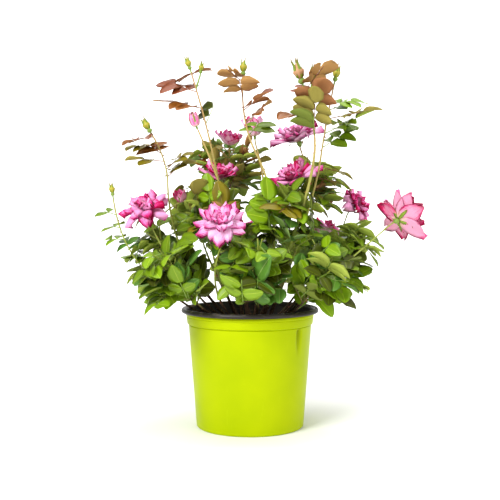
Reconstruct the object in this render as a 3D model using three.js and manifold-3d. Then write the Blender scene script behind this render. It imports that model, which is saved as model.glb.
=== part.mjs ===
// A potted rose bush: a round nursery pot filled with potting mix, bare canes that rise from it,
// leafy masses that the canes carry, and double blooms. Millimetres, +Z up, -Y is the front.
// The origin is the centre of the pot's flat underside.
import * as THREE from "three";
import { mergeVertices } from "three/addons/utils/BufferGeometryUtils.js";
import Module from "manifold-3d";

const wasm = await Module();
wasm.setup();

// ---------------------------------------------------------------- driving sizes

const pot = {
  height: 241,
  baseRadius: 108.5, // outside, at the floor
  wallRadius: 124.4, // outside, just under the step
  bandRadius: 127, // outside, just over the step
  neckRadius: 130, // outside, under the rim
  rimRadius: 139,
  stepHeight: 210,
  rimDepth: 11,
  wall: 1.6,
  floor: 2.5,
  sides: 32,
  drainHoles: 4,
  drainRadius: 8,
  drainRing: 84,
};

const mix = {
  top: 205,
  clearance: 0.5, // from the pot's wall and floor
  crown: 72, // radius of the flat middle, where the canes stand
  rise: 3.5, // height of the lumps round it
};

const shortEdge = 0.12; // detail smaller than this is left out where pieces are fused
const joint = 0.3; // gap where one piece grows on from another
const limbSides = 5;
const twigSides = 3;
const caneFlare = 1.35; // how much wider a cane is at the ground
const bladeThickness = 1.1;
const nearLimb = 7.5; // least distance of a leaf from another piece's centre line
const tries = 7; // turns at which a leaf is tried
const fewest = 2; // leaflets that a leaf must keep
const nearLeaf = 4.5; // least distance between two leaves of one mass
const nearCell = 0.8; // least distance of a leaf from the next mass's space
const pairSplay = 1.2; // angle between a side leaflet and its leaf stalk, in radians
const sideTwig = 26; // length of the twig under a spray's second bud
const goldenAngle = 2.39996;

// Each spray is one mass of foliage. Its bare cane rises from foot (on the mix) by way of elbow
// to fork, where the mass begins, and the mass's own stem runs on to tip. The mass keeps to an
// ellipsoid round centre with the half-sizes in spread, and to the side of it nearest to centre.
// A number in buds is the radius of one rosebud: the first at the tip, the second on a side twig.
const sprays = [
  // Tall, sparse sprays at the top and the sides of the bush.
  { name: "left_tall", seed: 137, foot: [-12, -12], elbow: [-42, -30, 400], fork: [-76, -46, 560],
    tip: [-115, -50, 706], centre: [-126, -52, 668], spread: [106, 78, 88],
    twigs: 0, twigLength: 42, twigLeaves: 2, leaves: 5,
    leafLength: 100, leaflet: 34, buds: [8, 7], thick: 2.8 },
  { name: "centre_tall", seed: 154, foot: [22, -12], elbow: [76, -75, 425], fork: [13, -70, 545],
    tip: [-14, -56, 692], centre: [0, -60, 655], spread: [84, 75, 80],
    twigs: 0, twigLength: 0, twigLeaves: 2, leaves: 6, leafLength: 88, leaflet: 33, buds: [10], thick: 3 },
  { name: "right_tall", seed: 466, foot: [13, -26], elbow: [126, -115, 470], fork: [124, -94, 570],
    tip: [104, -90, 669], centre: [116, -90, 652], spread: [88, 80, 88],
    twigs: 0, twigLength: 50, twigLeaves: 2, leaves: 6,
    leafLength: 88, leaflet: 37, buds: [14, 11], thick: 3.3 },
  { name: "right_high", seed: 241, foot: [34, 4], elbow: [125, -20, 430], fork: [140, -42, 545],
    tip: [163, -62, 680], centre: [190, -34, 608], spread: [94, 78, 92],
    twigs: 1, twigLength: 60, twigLeaves: 2, leaves: 5,
    leafLength: 100, leaflet: 34, buds: [10], thick: 2.7 },
  { name: "left_outer", seed: 358, foot: [-30, -8], elbow: [-160, -35, 330], fork: [-163, -35, 492],
    tip: [-193, -30, 585], centre: [-187, -34, 540], spread: [78, 70, 80],
    twigs: 0, twigLength: 0, twigLeaves: 2, leaves: 6,
    leafLength: 86, leaflet: 31, buds: [10], thick: 2.5 },
  { name: "far_left", seed: 296, foot: [-50, -18], elbow: [-150, -55, 255], fork: [-214, -54, 328],
    tip: [-270, -40, 460], centre: [-256, -50, 396], spread: [60, 70, 85],
    twigs: 0, twigLength: 0, twigLeaves: 2, leaves: 6, leafLength: 72, leaflet: 28, buds: [8], thick: 2.2 },
  { name: "back_tall", seed: 212, foot: [-4, 30], elbow: [-24, 86, 380], fork: [-38, 86, 470],
    tip: [-43, 74, 560], centre: [-40, 106, 530], spread: [110, 90, 85],
    twigs: 2, twigLength: 56, twigLeaves: 2, leaves: 6, leafLength: 82, leaflet: 38, buds: [], thick: 2.7 },
  // The upper tier of the dense crown.
  { name: "upper_left", seed: 134, foot: [-20, 12], elbow: [-62, 0, 292], fork: [-76, -14, 354],
    tip: [-72, 4, 478], centre: [-76, -22, 428], spread: [102, 88, 104],
    twigs: 4, twigLength: 62, twigLeaves: 2, leaves: 8, leafLength: 80, leaflet: 40, buds: [], thick: 2.7 },
  { name: "upper_right", seed: 139, foot: [31, -20], elbow: [64, -54, 290], fork: [72, -60, 352],
    tip: [84, -36, 470], centre: [60, -60, 420], spread: [104, 80, 104],
    twigs: 4, twigLength: 62, twigLeaves: 2, leaves: 8, leafLength: 80, leaflet: 40, buds: [], thick: 2.7 },
  { name: "upper_back_right", seed: 84, foot: [22, 24], elbow: [96, 40, 380], fork: [112, 34, 440],
    tip: [104, 30, 560], centre: [134, 24, 462], spread: [100, 90, 96],
    twigs: 4, twigLength: 66, twigLeaves: 2, leaves: 7, leafLength: 80, leaflet: 40, buds: [], thick: 2.8 },
  { name: "upper_back_left", seed: 246, foot: [-18, 28], elbow: [-90, 90, 330], fork: [-100, 96, 370],
    tip: [-118, 122, 425], centre: [-84, 96, 440], spread: [110, 85, 88],
    twigs: 4, twigLength: 62, twigLeaves: 2, leaves: 6, leafLength: 80, leaflet: 40, buds: [], thick: 2.7 },
  // The lower tier, all round the pot.
  { name: "front", seed: 105, foot: [8, -38], elbow: [14, -78, 235], fork: [16, -108, 262],
    tip: [14, -152, 385], centre: [4, -146, 322], spread: [90, 76, 94],
    twigs: 3, twigLength: 60, twigLeaves: 2, leaves: 5, leafLength: 82, leaflet: 43, buds: [], thick: 2.6 },
  { name: "front_right", seed: 194, foot: [46, -36], elbow: [78, -84, 232], fork: [98, -100, 256],
    tip: [156, -122, 345], centre: [148, -116, 302], spread: [92, 80, 100],
    twigs: 3, twigLength: 62, twigLeaves: 2, leaves: 5, leafLength: 82, leaflet: 43, buds: [], thick: 2.6 },
  { name: "right", seed: 277, foot: [44, -4], elbow: [110, 6, 240], fork: [136, 6, 275],
    tip: [204, -6, 395], centre: [194, 0, 340], spread: [88, 88, 104],
    twigs: 3, twigLength: 62, twigLeaves: 2, leaves: 5, leafLength: 82, leaflet: 43, buds: [], thick: 2.6 },
  { name: "back_right", seed: 189, foot: [44, 34], elbow: [88, 82, 240], fork: [108, 104, 275],
    tip: [150, 150, 370], centre: [130, 142, 325], spread: [95, 85, 90],
    twigs: 3, twigLength: 62, twigLeaves: 2, leaves: 5, leafLength: 82, leaflet: 43, buds: [], thick: 2.6 },
  { name: "back", seed: 58, foot: [4, 44], elbow: [-8, 104, 240], fork: [-12, 130, 275],
    tip: [-22, 180, 380], centre: [-10, 160, 345], spread: [95, 80, 98],
    twigs: 3, twigLength: 62, twigLeaves: 2, leaves: 5, leafLength: 82, leaflet: 43, buds: [], thick: 2.6 },
  { name: "left", seed: 68, foot: [-48, 10], elbow: [-112, 20, 240], fork: [-138, 20, 272],
    tip: [-182, -2, 400], centre: [-188, 20, 340], spread: [94, 88, 98],
    twigs: 3, twigLength: 66, twigLeaves: 2, leaves: 5, leafLength: 82, leaflet: 43, buds: [], thick: 2.6 },
  { name: "front_left", seed: 259, foot: [-26, -32], elbow: [-76, -80, 232], fork: [-98, -98, 256],
    tip: [-154, -116, 345], centre: [-140, -112, 304], spread: [104, 82, 96],
    twigs: 3, twigLength: 62, twigLeaves: 2, leaves: 5, leafLength: 82, leaflet: 43, buds: [], thick: 2.6 },
];

// Bare canes that end in a bloom.
const flowerCanes = [
  { name: "bloom_left", foot: [-34, -26], elbow: [-132, -88, 284], fork: [-190, -68, 402], thick: 2.1 },
  { name: "bloom_front", foot: [-14, -40], elbow: [-98, -150, 282], fork: [-46, -160, 388], thick: 2.1 },
  { name: "bloom_far_right", foot: [46, -20], elbow: [140, -84, 296], fork: [274, -42, 406], thick: 2.1 },
  { name: "bloom_right", foot: [46, 16], elbow: [160, 66, 300], fork: [202, 68, 424], thick: 2.1 },
  { name: "bloom_middle", foot: [6, 14], elbow: [52, 28, 440], fork: [13, 22, 566], thick: 2.4 },
  { name: "bloom_left_bud", foot: [0, -28], elbow: [-24, -52, 420], fork: [-98, -60, 586], thick: 2.4 },
];

// Blooms: on is the spray or flower cane that carries one, at the middle of its petals, facing
// the way that it looks, radius of its outer petals, and open from 0, a bud, to 1, wide open.
const blooms = [
  { name: "left", on: "bloom_left", at: [-208, -64, 446],
    facing: [-0.25, -0.5, 0.83], radius: 49, open: 1 },
  { name: "front", on: "bloom_front", at: [-52, -172, 421],
    facing: [-0.05, -0.72, 0.69], radius: 47, open: 0.95 },
  { name: "far_right", on: "bloom_far_right", at: [306, -26, 426],
    facing: [0.66, 0.62, 0.42], radius: 47, open: 0.75 },
  { name: "right", on: "bloom_right", at: [228, 62, 450],
    facing: [0.86, -0.3, 0.42], radius: 41, open: 1 },
  { name: "middle", on: "bloom_middle", at: [9, 18, 604],
    facing: [-0.05, -0.05, 1], radius: 27, open: 0.3 },
  { name: "left_bud", on: "bloom_left_bud", at: [-108, -62, 612],
    facing: [-0.3, -0.05, 0.95], radius: 17, open: 0.04 },
  { name: "upper_right", on: "upper_back_right", at: [94, 22, 594],
    facing: [-0.3, -0.2, 0.93], radius: 48, open: 0.85 },
  { name: "upper_left", on: "upper_left", at: [-60, 6, 516],
    facing: [0.15, -0.35, 0.92], radius: 33, open: 0.7 },
  { name: "inner_right", on: "upper_right", at: [84, -30, 511],
    facing: [-0.5, -0.3, 0.8], radius: 44, open: 0.85 },
  { name: "red_bud", on: "left", at: [-138, -20, 464],
    facing: [-0.25, -0.4, 0.88], radius: 19, open: 0.35 },
  { name: "back_left", on: "upper_back_left", at: [-130, 160, 442],
    facing: [-0.35, 0.55, 0.75], radius: 38, open: 0.9 },
  { name: "back", on: "back", at: [-30, 212, 392],
    facing: [0.05, 0.72, 0.7], radius: 42, open: 0.95 },
  { name: "back_right", on: "back_right", at: [174, 172, 392],
    facing: [0.5, 0.45, 0.74], radius: 40, open: 0.9 },
  { name: "high_back", on: "back_tall", at: [-42, 66, 586],
    facing: [0.2, -0.3, 0.92], radius: 26, open: 0.5 },
];

// ---------------------------------------------------------------- shared rules

const up = new THREE.Vector3(0, 0, 1);
const vec = (p) => new THREE.Vector3(...p);
const along = (from, direction, distance) => from.clone().addScaledVector(direction, distance);

// One repeatable number from 0 to 1 for each set of three whole numbers.
function chance(a, b, c) {
  const s = Math.sin(a * 12.9898 + b * 78.233 + c * 37.719 + 4.1414) * 43758.5453;
  return s - Math.floor(s);
}

const between = (low, high, share) => low + (high - low) * share;

// Two directions square to an axis and to each other.
function square(axis) {
  const seed = Math.abs(axis.z) > 0.95 ? new THREE.Vector3(1, 0, 0) : up;
  const u = new THREE.Vector3().crossVectors(axis, seed).normalize();
  return [u, new THREE.Vector3().crossVectors(axis, u).normalize()];
}

// ---------------------------------------------------------------- solids

function geometryOf(points, faces) {
  const flat = points.flatMap((p) => [p.x, p.y, p.z]);
  return new THREE.BufferGeometry()
    .setAttribute("position", new THREE.Float32BufferAttribute(flat, 3))
    .setIndex(faces.flat());
}

function toSolid(geometry) {
  const bare = geometry.clone();
  bare.deleteAttribute("normal");
  bare.deleteAttribute("uv");
  const merged = mergeVertices(bare, 1e-3);
  const index = merged.index.array;
  const kept = [];
  for (let i = 0; i < index.length; i += 3) {
    const [a, b, c] = [index[i], index[i + 1], index[i + 2]];
    if (a !== b && b !== c && a !== c) kept.push(a, b, c);
  }
  return new wasm.Manifold(
    new wasm.Mesh({
      numProp: 3,
      vertProperties: new Float32Array(merged.attributes.position.array),
      triVerts: new Uint32Array(kept),
    }),
  );
}

function toGeometry(solid) {
  const mesh = solid.getMesh();
  const points = new Float32Array(mesh.numVert * 3);
  for (let i = 0; i < mesh.numVert; i++) {
    points.set(mesh.vertProperties.subarray(i * mesh.numProp, i * mesh.numProp + 3), i * 3);
  }
  return new THREE.BufferGeometry()
    .setAttribute("position", new THREE.BufferAttribute(points, 3))
    .setIndex(new THREE.BufferAttribute(new Uint32Array(mesh.triVerts), 1));
}

// Joins solids into one, and drops any scrap that doesn't touch the largest piece. Edges too
// short to matter are taken out, and so is a hollow that the joining has sealed.
function fuse(solids) {
  const whole = wasm.Manifold.union(solids).simplify(shortEdge);
  const bodies = whole.decompose();
  return bodies.reduce((best, next) => (next.volume() > best.volume() ? next : best));
}

// A tapering limb along a curve. radiusAt takes 0 to 1. Its ends are flat and square to it, or the
// first is flat on the ground if ground is a height. crowd above 1 brings its rings to the foot.
function limb(curve, radiusAt, sides, steps, ground = null, crowd = 1) {
  const points = [];
  const faces = [];
  let u = square(curve.getTangent(0))[0];
  for (let i = 0; i <= steps; i++) {
    const t = (i / steps) ** crowd;
    const tangent = curve.getTangent(t);
    u = u.addScaledVector(tangent, -u.dot(tangent)).normalize().clone();
    const v = new THREE.Vector3().crossVectors(tangent, u);
    for (let k = 0; k < sides; k++) {
      const angle = (2 * Math.PI * k) / sides;
      const point = curve.getPoint(t);
      point.addScaledVector(u, Math.cos(angle) * radiusAt(t));
      point.addScaledVector(v, Math.sin(angle) * radiusAt(t));
      if (ground !== null && i === 0) point.addScaledVector(tangent, (ground - point.z) / tangent.z);
      points.push(point);
    }
  }
  for (let i = 0; i < steps; i++) {
    for (let k = 0; k < sides; k++) {
      const [a, b] = [i * sides + k, i * sides + ((k + 1) % sides)];
      faces.push([a, b, b + sides], [a, b + sides, a + sides]);
    }
  }
  const last = steps * sides;
  for (let k = 1; k < sides - 1; k++) {
    faces.push([0, k + 1, k], [last, last + k, last + k + 1]);
  }
  return geometryOf(points, faces);
}

const bend = (from, middle, to) => new THREE.QuadraticBezierCurve3(from, middle, to);

function straightTwig(from, to, startRadius, endRadius) {
  const curve = new THREE.LineCurve3(from, to);
  return limb(curve, (t) => between(startRadius, endRadius, t), twigSides, 1);
}

// ---------------------------------------------------------------- compound leaf

const stalkRadius = 0.75;
const leafJoint = 1.7; // half of a side leaflet's footing along the stalk
const widest = 0.46; // where a leaflet is widest, as a share of its length

// Side leaflets stand in pairs at these shares of the leaf's length, and one ends it.
const pairsAt = { 1: [0.33], 2: [0.24, 0.47] };
const endAt = { 1: 0.53, 2: 0.64 };

// Corners of one leaflet: its left, upper, right and lower middles, and its tip.
function leafletCorners({ root, aim, face, length, width }) {
  const side = new THREE.Vector3().crossVectors(aim, face).normalize();
  const middle = along(root, aim, widest * length);
  const edge = (s) => along(along(middle, side, (s * width) / 2), face, 0.16 * width);
  return {
    left: edge(-1),
    right: edge(1),
    top: along(middle, face, bladeThickness / 2),
    bottom: along(middle, face, -bladeThickness / 2),
    tip: along(along(root, aim, length), face, -0.08 * length),
  };
}

// One closed shell: a four-sided stalk that opens into pairs of leaflets, which stand in holes of
// its sides, and an end leaflet. A leaflet that is null leaves its hole shut.
function compoundLeaf(from, lean, normal, length, pairs, endLeaflet) {
  const points = [];
  const faces = [];
  const put = (point) => points.push(point) - 1;
  const side = new THREE.Vector3().crossVectors(lean, normal).normalize();
  const tube = (a, b) => {
    a.forEach((_, i) => {
      const j = (i + 1) % a.length;
      faces.push([a[i], a[j], b[j]], [a[i], b[j], b[i]]);
    });
  };
  const point = (a, tip) => a.forEach((_, i) => faces.push([a[i], a[(i + 1) % a.length], tip]));
  const off = (at, axis, distance) => along(along(from, lean, at), axis, distance);
  const shell = (hole, corners, order) => {
    if (!corners) {
      faces.push([hole[0], hole[1], hole[2]], [hole[0], hole[2], hole[3]]);
      return;
    }
    const ring = order.map((key) => put(corners[key]));
    tube(hole, ring);
    point(ring, put(corners.tip));
  };
  const edges = (at) => ({
    left: put(off(at, side, -stalkRadius)),
    top: put(off(at, normal, stalkRadius)),
    right: put(off(at, side, stalkRadius)),
    bottom: put(off(at, normal, -stalkRadius)),
  });
  const run = (a, b) => {
    const keys = ["left", "top", "right", "bottom"];
    keys.forEach((key, i) => {
      const next = keys[(i + 1) % 4];
      faces.push([a[key], a[next], b[next]], [a[key], b[next], b[key]]);
    });
  };
  let ring = edges(0);
  faces.push([ring.left, ring.right, ring.top], [ring.left, ring.bottom, ring.right]);
  for (const { at, left, right } of pairs) {
    const low = edges(at);
    points[low.left] = off(at - leafJoint, side, -stalkRadius);
    points[low.right] = off(at - leafJoint, side, stalkRadius);
    run(ring, low);
    const high = {
      ...low,
      left: put(off(at + leafJoint, side, -stalkRadius)),
      right: put(off(at + leafJoint, side, stalkRadius)),
    };
    shell([high.right, low.top, low.right, low.bottom], right, ["left", "top", "right", "bottom"]);
    shell([low.top, high.left, low.bottom, low.left], left, ["top", "right", "bottom", "left"]);
    ring = high;
  }
  const last = edges(length);
  run(ring, last);
  const end = [last.left, last.top, last.right, last.bottom];
  shell(end, endLeaflet, ["left", "top", "right", "bottom"]);
  return geometryOf(points, faces);
}

// ---------------------------------------------------------------- pot and mix

// Radius of the pot's outside at a height, under the rim.
function potRadius(z) {
  const { height, baseRadius, wallRadius, bandRadius, neckRadius, stepHeight, rimDepth } = pot;
  const underRim = height - rimDepth;
  if (z > stepHeight) return between(bandRadius, neckRadius, (z - stepHeight) / (underRim - stepHeight));
  return between(baseRadius, wallRadius, z / stepHeight);
}

function lathe(profile) {
  const points = profile.map(([radius, z]) => new THREE.Vector2(radius, z));
  return new THREE.LatheGeometry(points, pot.sides).rotateX(Math.PI / 2);
}

function makePot() {
  const { height, wall, floor, stepHeight, bandRadius, neckRadius, rimRadius, rimDepth } = pot;
  const foot = 2;
  const step = 2;
  const underRim = height - rimDepth;
  const solid = toSolid(
    lathe([
      [0, 0],
      [pot.baseRadius - foot, 0],
      [potRadius(foot), foot],
      [potRadius(stepHeight - step), stepHeight - step],
      [bandRadius, stepHeight],
      [neckRadius, underRim],
      [rimRadius - 2, underRim],
      [rimRadius, underRim + 4],
      [rimRadius - 1, height - 3],
      [rimRadius - 4, height],
      [neckRadius + 2, height - 1],
      [neckRadius - wall, underRim],
      [bandRadius - wall, stepHeight + 0.5],
      [potRadius(stepHeight - step) - wall, stepHeight - step + 0.5],
      [potRadius(floor) - wall, floor],
      [0, floor],
    ]),
  );
  const drain = new THREE.CylinderGeometry(pot.drainRadius, pot.drainRadius, 4 * floor, 10);
  drain.rotateX(Math.PI / 2);
  let drained = solid;
  for (let i = 0; i < pot.drainHoles; i++) {
    const angle = (2 * Math.PI * i) / pot.drainHoles;
    const hole = drain.clone();
    hole.translate(pot.drainRing * Math.cos(angle), pot.drainRing * Math.sin(angle), 0);
    drained = drained.subtract(toSolid(hole));
  }
  return toGeometry(drained);
}

function makeMix() {
  const { top, clearance, crown, rise } = mix;
  const bottom = pot.floor + clearance;
  const inside = (z) => potRadius(z) - pot.wall - clearance;
  const geometry = lathe([
    [0, bottom],
    [inside(bottom), bottom],
    [inside(top), top],
    [(inside(top) + crown) / 2, top],
    [crown, top],
    [0, top],
  ]);
  const place = geometry.getAttribute("position");
  for (let i = 0; i < place.count; i++) {
    const [x, y, z] = [place.getX(i), place.getY(i), place.getZ(i)];
    const radius = Math.hypot(x, y);
    if (z < top - 0.1 || radius <= crown + 0.1) continue;
    const turn = Math.atan2(y, x);
    place.setZ(i, top + rise * (0.5 + 0.3 * Math.sin(5 * turn) + 0.2 * Math.sin(11 * turn + radius)));
  }
  return toGeometry(toSolid(geometry));
}

// ---------------------------------------------------------------- canes

// The bare cane of a spray or bloom, from the mix to its fork.
function caneOf(row) {
  const foot = new THREE.Vector3(row.foot[0], row.foot[1], mix.top + joint);
  const curve = bend(foot, vec(row.elbow), vec(row.fork));
  const low = row.thick * 1.25;
  const high = row.thick * 0.62;
  const radiusAt = (t) => between(low, high, t) * (1 + (caneFlare - 1) * Math.exp(-t * 22));
  return { curve, radiusAt, end: vec(row.fork), direction: curve.getTangent(1), radius: high };
}

function makeCane(row) {
  const { curve, radiusAt } = caneOf(row);
  const steps = Math.max(4, Math.round(curve.getLength() / 70));
  return limb(curve, radiusAt, limbSides, steps, mix.top + joint, 1.5);
}

// The stem that carries a mass on from its cane's fork to its tip.
function stemOf(row) {
  const cane = caneOf(row);
  const start = along(cane.end, cane.direction, joint);
  const end = vec(row.tip);
  const middle = along(start, cane.direction, start.distanceTo(end) * 0.45);
  const thin = 1.5;
  return {
    curve: bend(start, middle, end),
    radiusAt: (t) => between(cane.radius, thin, t),
    end,
    direction: end.clone().sub(middle).normalize(),
    radius: thin,
  };
}

// ---------------------------------------------------------------- blooms

const holders = new Map(sprays.map((row) => [row.name, stemOf(row)]));
flowerCanes.forEach((row) => holders.set(row.name, caneOf(row)));

function stalkOf(bloom) {
  const holder = holders.get(bloom.on);
  const axis = vec(bloom.facing).normalize();
  const heart = along(vec(bloom.at), axis, -bloom.radius * between(0.75, 0.3, bloom.open));
  const start = along(holder.end, holder.direction, joint);
  const middle = along(start, holder.direction, start.distanceTo(heart) * 0.5);
  return { curve: bend(start, middle, heart), radius: holder.radius, axis, heart };
}

// A bloom turned round its axis: a green hip, the backs of the outer petals, their points, a
// second ring of petals and the domed heart. Each ring is [radius, rise, depth of the notch
// between two petals, which ring of petals it belongs to], all as shares of the bloom's radius.
function bloomRings(open) {
  const shut = 1 - open;
  return [
    [0.15, -0.16, 0, 0],
    [between(0.58, 0.56, open), between(0.45, 0.02, open), 0.02, 0],
    [between(0.62, 1, open), between(1.25, 0.12, open), 0.24 * open, 0],
    [between(0.5, 0.7, open), between(1.5, 0.24, open), 0.1 * open, 1],
    [between(0.36, 0.72, open), between(1.7, 0.5, open), 0.2 * open, 1],
    [between(0.2, 0.42, open), between(1.85, 0.58, open), 0.05, 0],
  ].map(([radius, rise, notch, ring]) => [radius, rise + 0.05 * shut, notch, ring]);
}

function makeBloom(bloom) {
  const { curve, radius, axis, heart } = stalkOf(bloom);
  const [u, v] = square(axis);
  const petals = bloom.radius > 25 ? 6 : 5;
  const sides = 2 * petals;
  const rings = bloomRings(bloom.open);
  const points = [];
  rings.forEach(([across, rise, notch, ring]) => {
    for (let k = 0; k < sides; k++) {
      const tip = (k + ring) % 2 === 0;
      const uneven = notch && tip ? 0.1 * (chance(k, ring, bloom.radius) - 0.5) : 0;
      const out = Math.max(across * bloom.radius * (tip ? 1 + uneven : 1 - notch), 2.4);
      const turn = (2 * Math.PI * k) / sides;
      const foot = along(heart, axis, (rise + uneven) * bloom.radius);
      points.push(along(along(foot, u, out * Math.cos(turn)), v, out * Math.sin(turn)));
    }
  });
  const top = rings[rings.length - 1][1] + 0.06;
  points.push(along(heart, axis, rings[0][1] * bloom.radius), along(heart, axis, top * bloom.radius));
  const [low, high] = [points.length - 2, points.length - 1];
  const faces = [];
  for (let k = 0; k < sides; k++) {
    const next = (k + 1) % sides;
    for (let i = 0; i < rings.length - 1; i++) {
      const [a, b] = [i * sides + k, i * sides + next];
      faces.push([a, b, b + sides], [a, b + sides, a + sides]);
    }
    const last = (rings.length - 1) * sides;
    faces.push([low, next, k], [high, last + k, last + next]);
  }
  const head = toSolid(geometryOf(points, faces));
  return toGeometry(fuse([head, toSolid(limb(curve, () => radius, limbSides, 3))]));
}

// ---------------------------------------------------------------- masses

// Points every few millimetres along each limb, with the name of the piece that they belong to.
function centreLine(name, curve, radiusAt) {
  const count = Math.ceil(curve.getLength() / 4);
  return Array.from({ length: count + 1 }, (_, i) => {
    return { name, point: curve.getPoint(i / count), radius: radiusAt(i / count) };
  });
}

const limbs = [
  ...[...sprays, ...flowerCanes].flatMap((row) => {
    const cane = caneOf(row);
    return centreLine("cane_" + row.name, cane.curve, cane.radiusAt);
  }),
  ...sprays.flatMap((row) => {
    const stem = holders.get(row.name);
    return centreLine(row.name, stem.curve, stem.radiusAt);
  }),
  ...blooms.flatMap((bloom) => centreLine("rose_" + bloom.name, stalkOf(bloom).curve, () => 2)),
];

// For each mass, the points of other pieces' centre lines that lie close to its space.
const limbsNear = new Map(
  sprays.map((row) => {
    const reach = Math.max(...row.spread) + 2 * nearLimb;
    const near = limbs.filter((l) => l.name !== row.name && l.point.distanceTo(vec(row.centre)) < reach);
    return [row.name, near.map((l) => l.point)];
  }),
);

function inOwnSpace(point, row) {
  const centre = vec(row.centre);
  const out = point.clone().sub(centre).divide(vec(row.spread)).length();
  if (out > 1) return false;
  return sprays.every((other) => {
    if (other === row) return true;
    const apart = centre.clone().sub(vec(other.centre));
    const middle = centre.clone().add(vec(other.centre)).multiplyScalar(0.5);
    return point.clone().sub(middle).dot(apart) / apart.length() > nearCell;
  });
}

function clearOfPot(point) {
  const radius = Math.hypot(point.x, point.y);
  const margin = 3;
  if (point.z > pot.height + margin) return true;
  const nearRim = point.z > pot.height - pot.rimDepth - margin;
  const outside = radius > (nearRim ? pot.rimRadius : potRadius(point.z) + 2) + margin;
  const inside = radius < potRadius(mix.top) - pot.wall - margin && point.z > mix.top + mix.rise + margin;
  return outside || inside;
}

function clearOfBlooms(point) {
  return blooms.every((bloom) => {
    const { heart, axis } = stalkOf(bloom);
    const from = point.clone().sub(heart);
    const rise = from.dot(axis);
    const across = Math.sqrt(Math.max(0, from.lengthSq() - rise * rise));
    const tall = bloom.radius * between(1.8, 0.95, bloom.open) + 3;
    const wide = bloom.radius * between(0.95, 1.1, bloom.open) + 3;
    return rise < -bloom.radius * 0.32 * bloom.open - 7 || rise > tall || across > wide;
  });
}

// True if a point may hold a leaf or twig of this mass. Its own stem is no obstacle, and taken
// holds the points that the mass's other leaves already fill.
function free(point, row, taken) {
  return (
    inOwnSpace(point, row) &&
    clearOfPot(point) &&
    clearOfBlooms(point) &&
    limbsNear.get(row.name).every((spot) => spot.distanceTo(point) > nearLimb) &&
    taken.every((spot) => spot.distanceTo(point) > nearLeaf)
  );
}

function lineFree(from, to, row, taken) {
  const count = Math.max(2, Math.ceil(from.distanceTo(to) / 6));
  const points = Array.from({ length: count }, (_, i) => from.clone().lerp(to, (i + 1) / count));
  return points.every((point) => free(point, row, taken));
}

// Points spread over a leaflet, none further than a few millimetres from the next.
function bladePoints(root, aim, face, length, width) {
  const side = new THREE.Vector3().crossVectors(aim, face).normalize();
  return [0.15, 0.38, 0.6, 0.82, 1.02].flatMap((a, i) => {
    const half = [0.2, 0.5, 0.42, 0.22, 0][i] * width;
    return [-1, -0.35, 0.35, 1].map((s) => along(along(root, aim, a * length), side, s * half));
  });
}

// Which way a leaf faces: up, and outwards the further down and out it grows.
function lightFor(point, direction) {
  const outward = new THREE.Vector3(point.x, point.y, 0).normalize();
  const low = THREE.MathUtils.clamp((420 - point.z) / 200, 0, 1);
  const light = up.clone().multiplyScalar(between(0.95, 0.62, low));
  light.addScaledVector(outward, between(0.35, 0.8, low));
  return light.addScaledVector(direction, -light.dot(direction)).normalize();
}

// One try at a compound leaf, without those leaflets that would meet something.
function layLeaf(row, from, direction, seed, taken) {
  const total = row.leafLength * between(0.85, 1.12, chance(seed, 1, row.leafLength));
  const pairCount = total > 84 ? 2 : 1;
  const length = total * endAt[pairCount];
  const sag = between(0.05, 0.3, chance(seed, 2, 5));
  const lean = along(direction, up, -sag).normalize();
  const stalkEnd = along(from, lean, length);
  if (!lineFree(along(from, lean, 5), stalkEnd, row, taken)) return null;
  const normal = lightFor(from, lean);
  const side = new THREE.Vector3().crossVectors(lean, normal).normalize();
  const filled = [];
  let count = 0;
  const leaflet = (at, splay, size, key) => {
    const angle = splay * pairSplay + 0.16 * (chance(seed, key, 9) - 0.5);
    const aim = lean.clone().multiplyScalar(Math.cos(angle)).addScaledVector(side, Math.sin(angle));
    aim.addScaledVector(up, -0.16 * chance(seed, key, 11)).normalize();
    const face = normal.clone().addScaledVector(side, 0.4 * (chance(seed, key, 13) - 0.5));
    face.addScaledVector(aim, -face.dot(aim)).normalize();
    const root = along(along(from, lean, at), side, splay * stalkRadius);
    const long = row.leaflet * size * between(0.9, 1.2, chance(seed, key, 15));
    const wide = long * between(0.68, 0.84, chance(seed, key, 17));
    const spots = bladePoints(root, aim, face, long, wide);
    if (!spots.every((spot) => free(spot, row, taken))) return null;
    filled.push(...spots);
    count += 1;
    return leafletCorners({ root, aim, face, length: long, width: wide });
  };
  const pairs = pairsAt[pairCount].map((share, i) => {
    const at = share * total;
    return { at, left: leaflet(at, -1, 0.94, 2 * i), right: leaflet(at, 1, 0.94, 2 * i + 1) };
  });
  const last = leaflet(length, 0, 1.12, 8);
  const most = 2 * pairCount + 1;
  return { count, most, filled, build: () => compoundLeaf(from, lean, normal, length, pairs, last) };
}

// Leaves stand alternately round a limb, each turned by the golden angle from the last. Each is
// tried at a few turns, and the one that keeps most leaflets stays, if that is at least two.
function growLeaves(parts, row, curve, count, first, seed, taken) {
  let grown = 0;
  for (let i = 0; i < count; i++) {
    const t = between(first, 0.97, count > 1 ? i / (count - 1) : 1);
    const axis = curve.getTangent(t);
    const [u, v] = square(axis);
    let best = null;
    for (let k = 0; k < tries && !(best && best.count === best.most); k++) {
      const turn = goldenAngle * (i + 1) + (2 * Math.PI * k) / tries + chance(seed, i, 21);
      const out = along(u.clone().multiplyScalar(Math.cos(turn)), v, Math.sin(turn));
      const splay = between(0.85, 1.25, chance(seed, i, 23 + k));
      const direction = along(axis.clone().multiplyScalar(Math.cos(splay)), out, Math.sin(splay));
      const leaf = layLeaf(row, curve.getPoint(t), direction.normalize(), seed * 31 + i * 7 + k, taken);
      if (leaf && leaf.count > (best ? best.count : fewest - 1)) best = leaf;
    }
    if (!best) continue;
    parts.push(toSolid(best.build()));
    taken.push(...best.filled);
    grown += best.count;
  }
  return grown;
}

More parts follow.
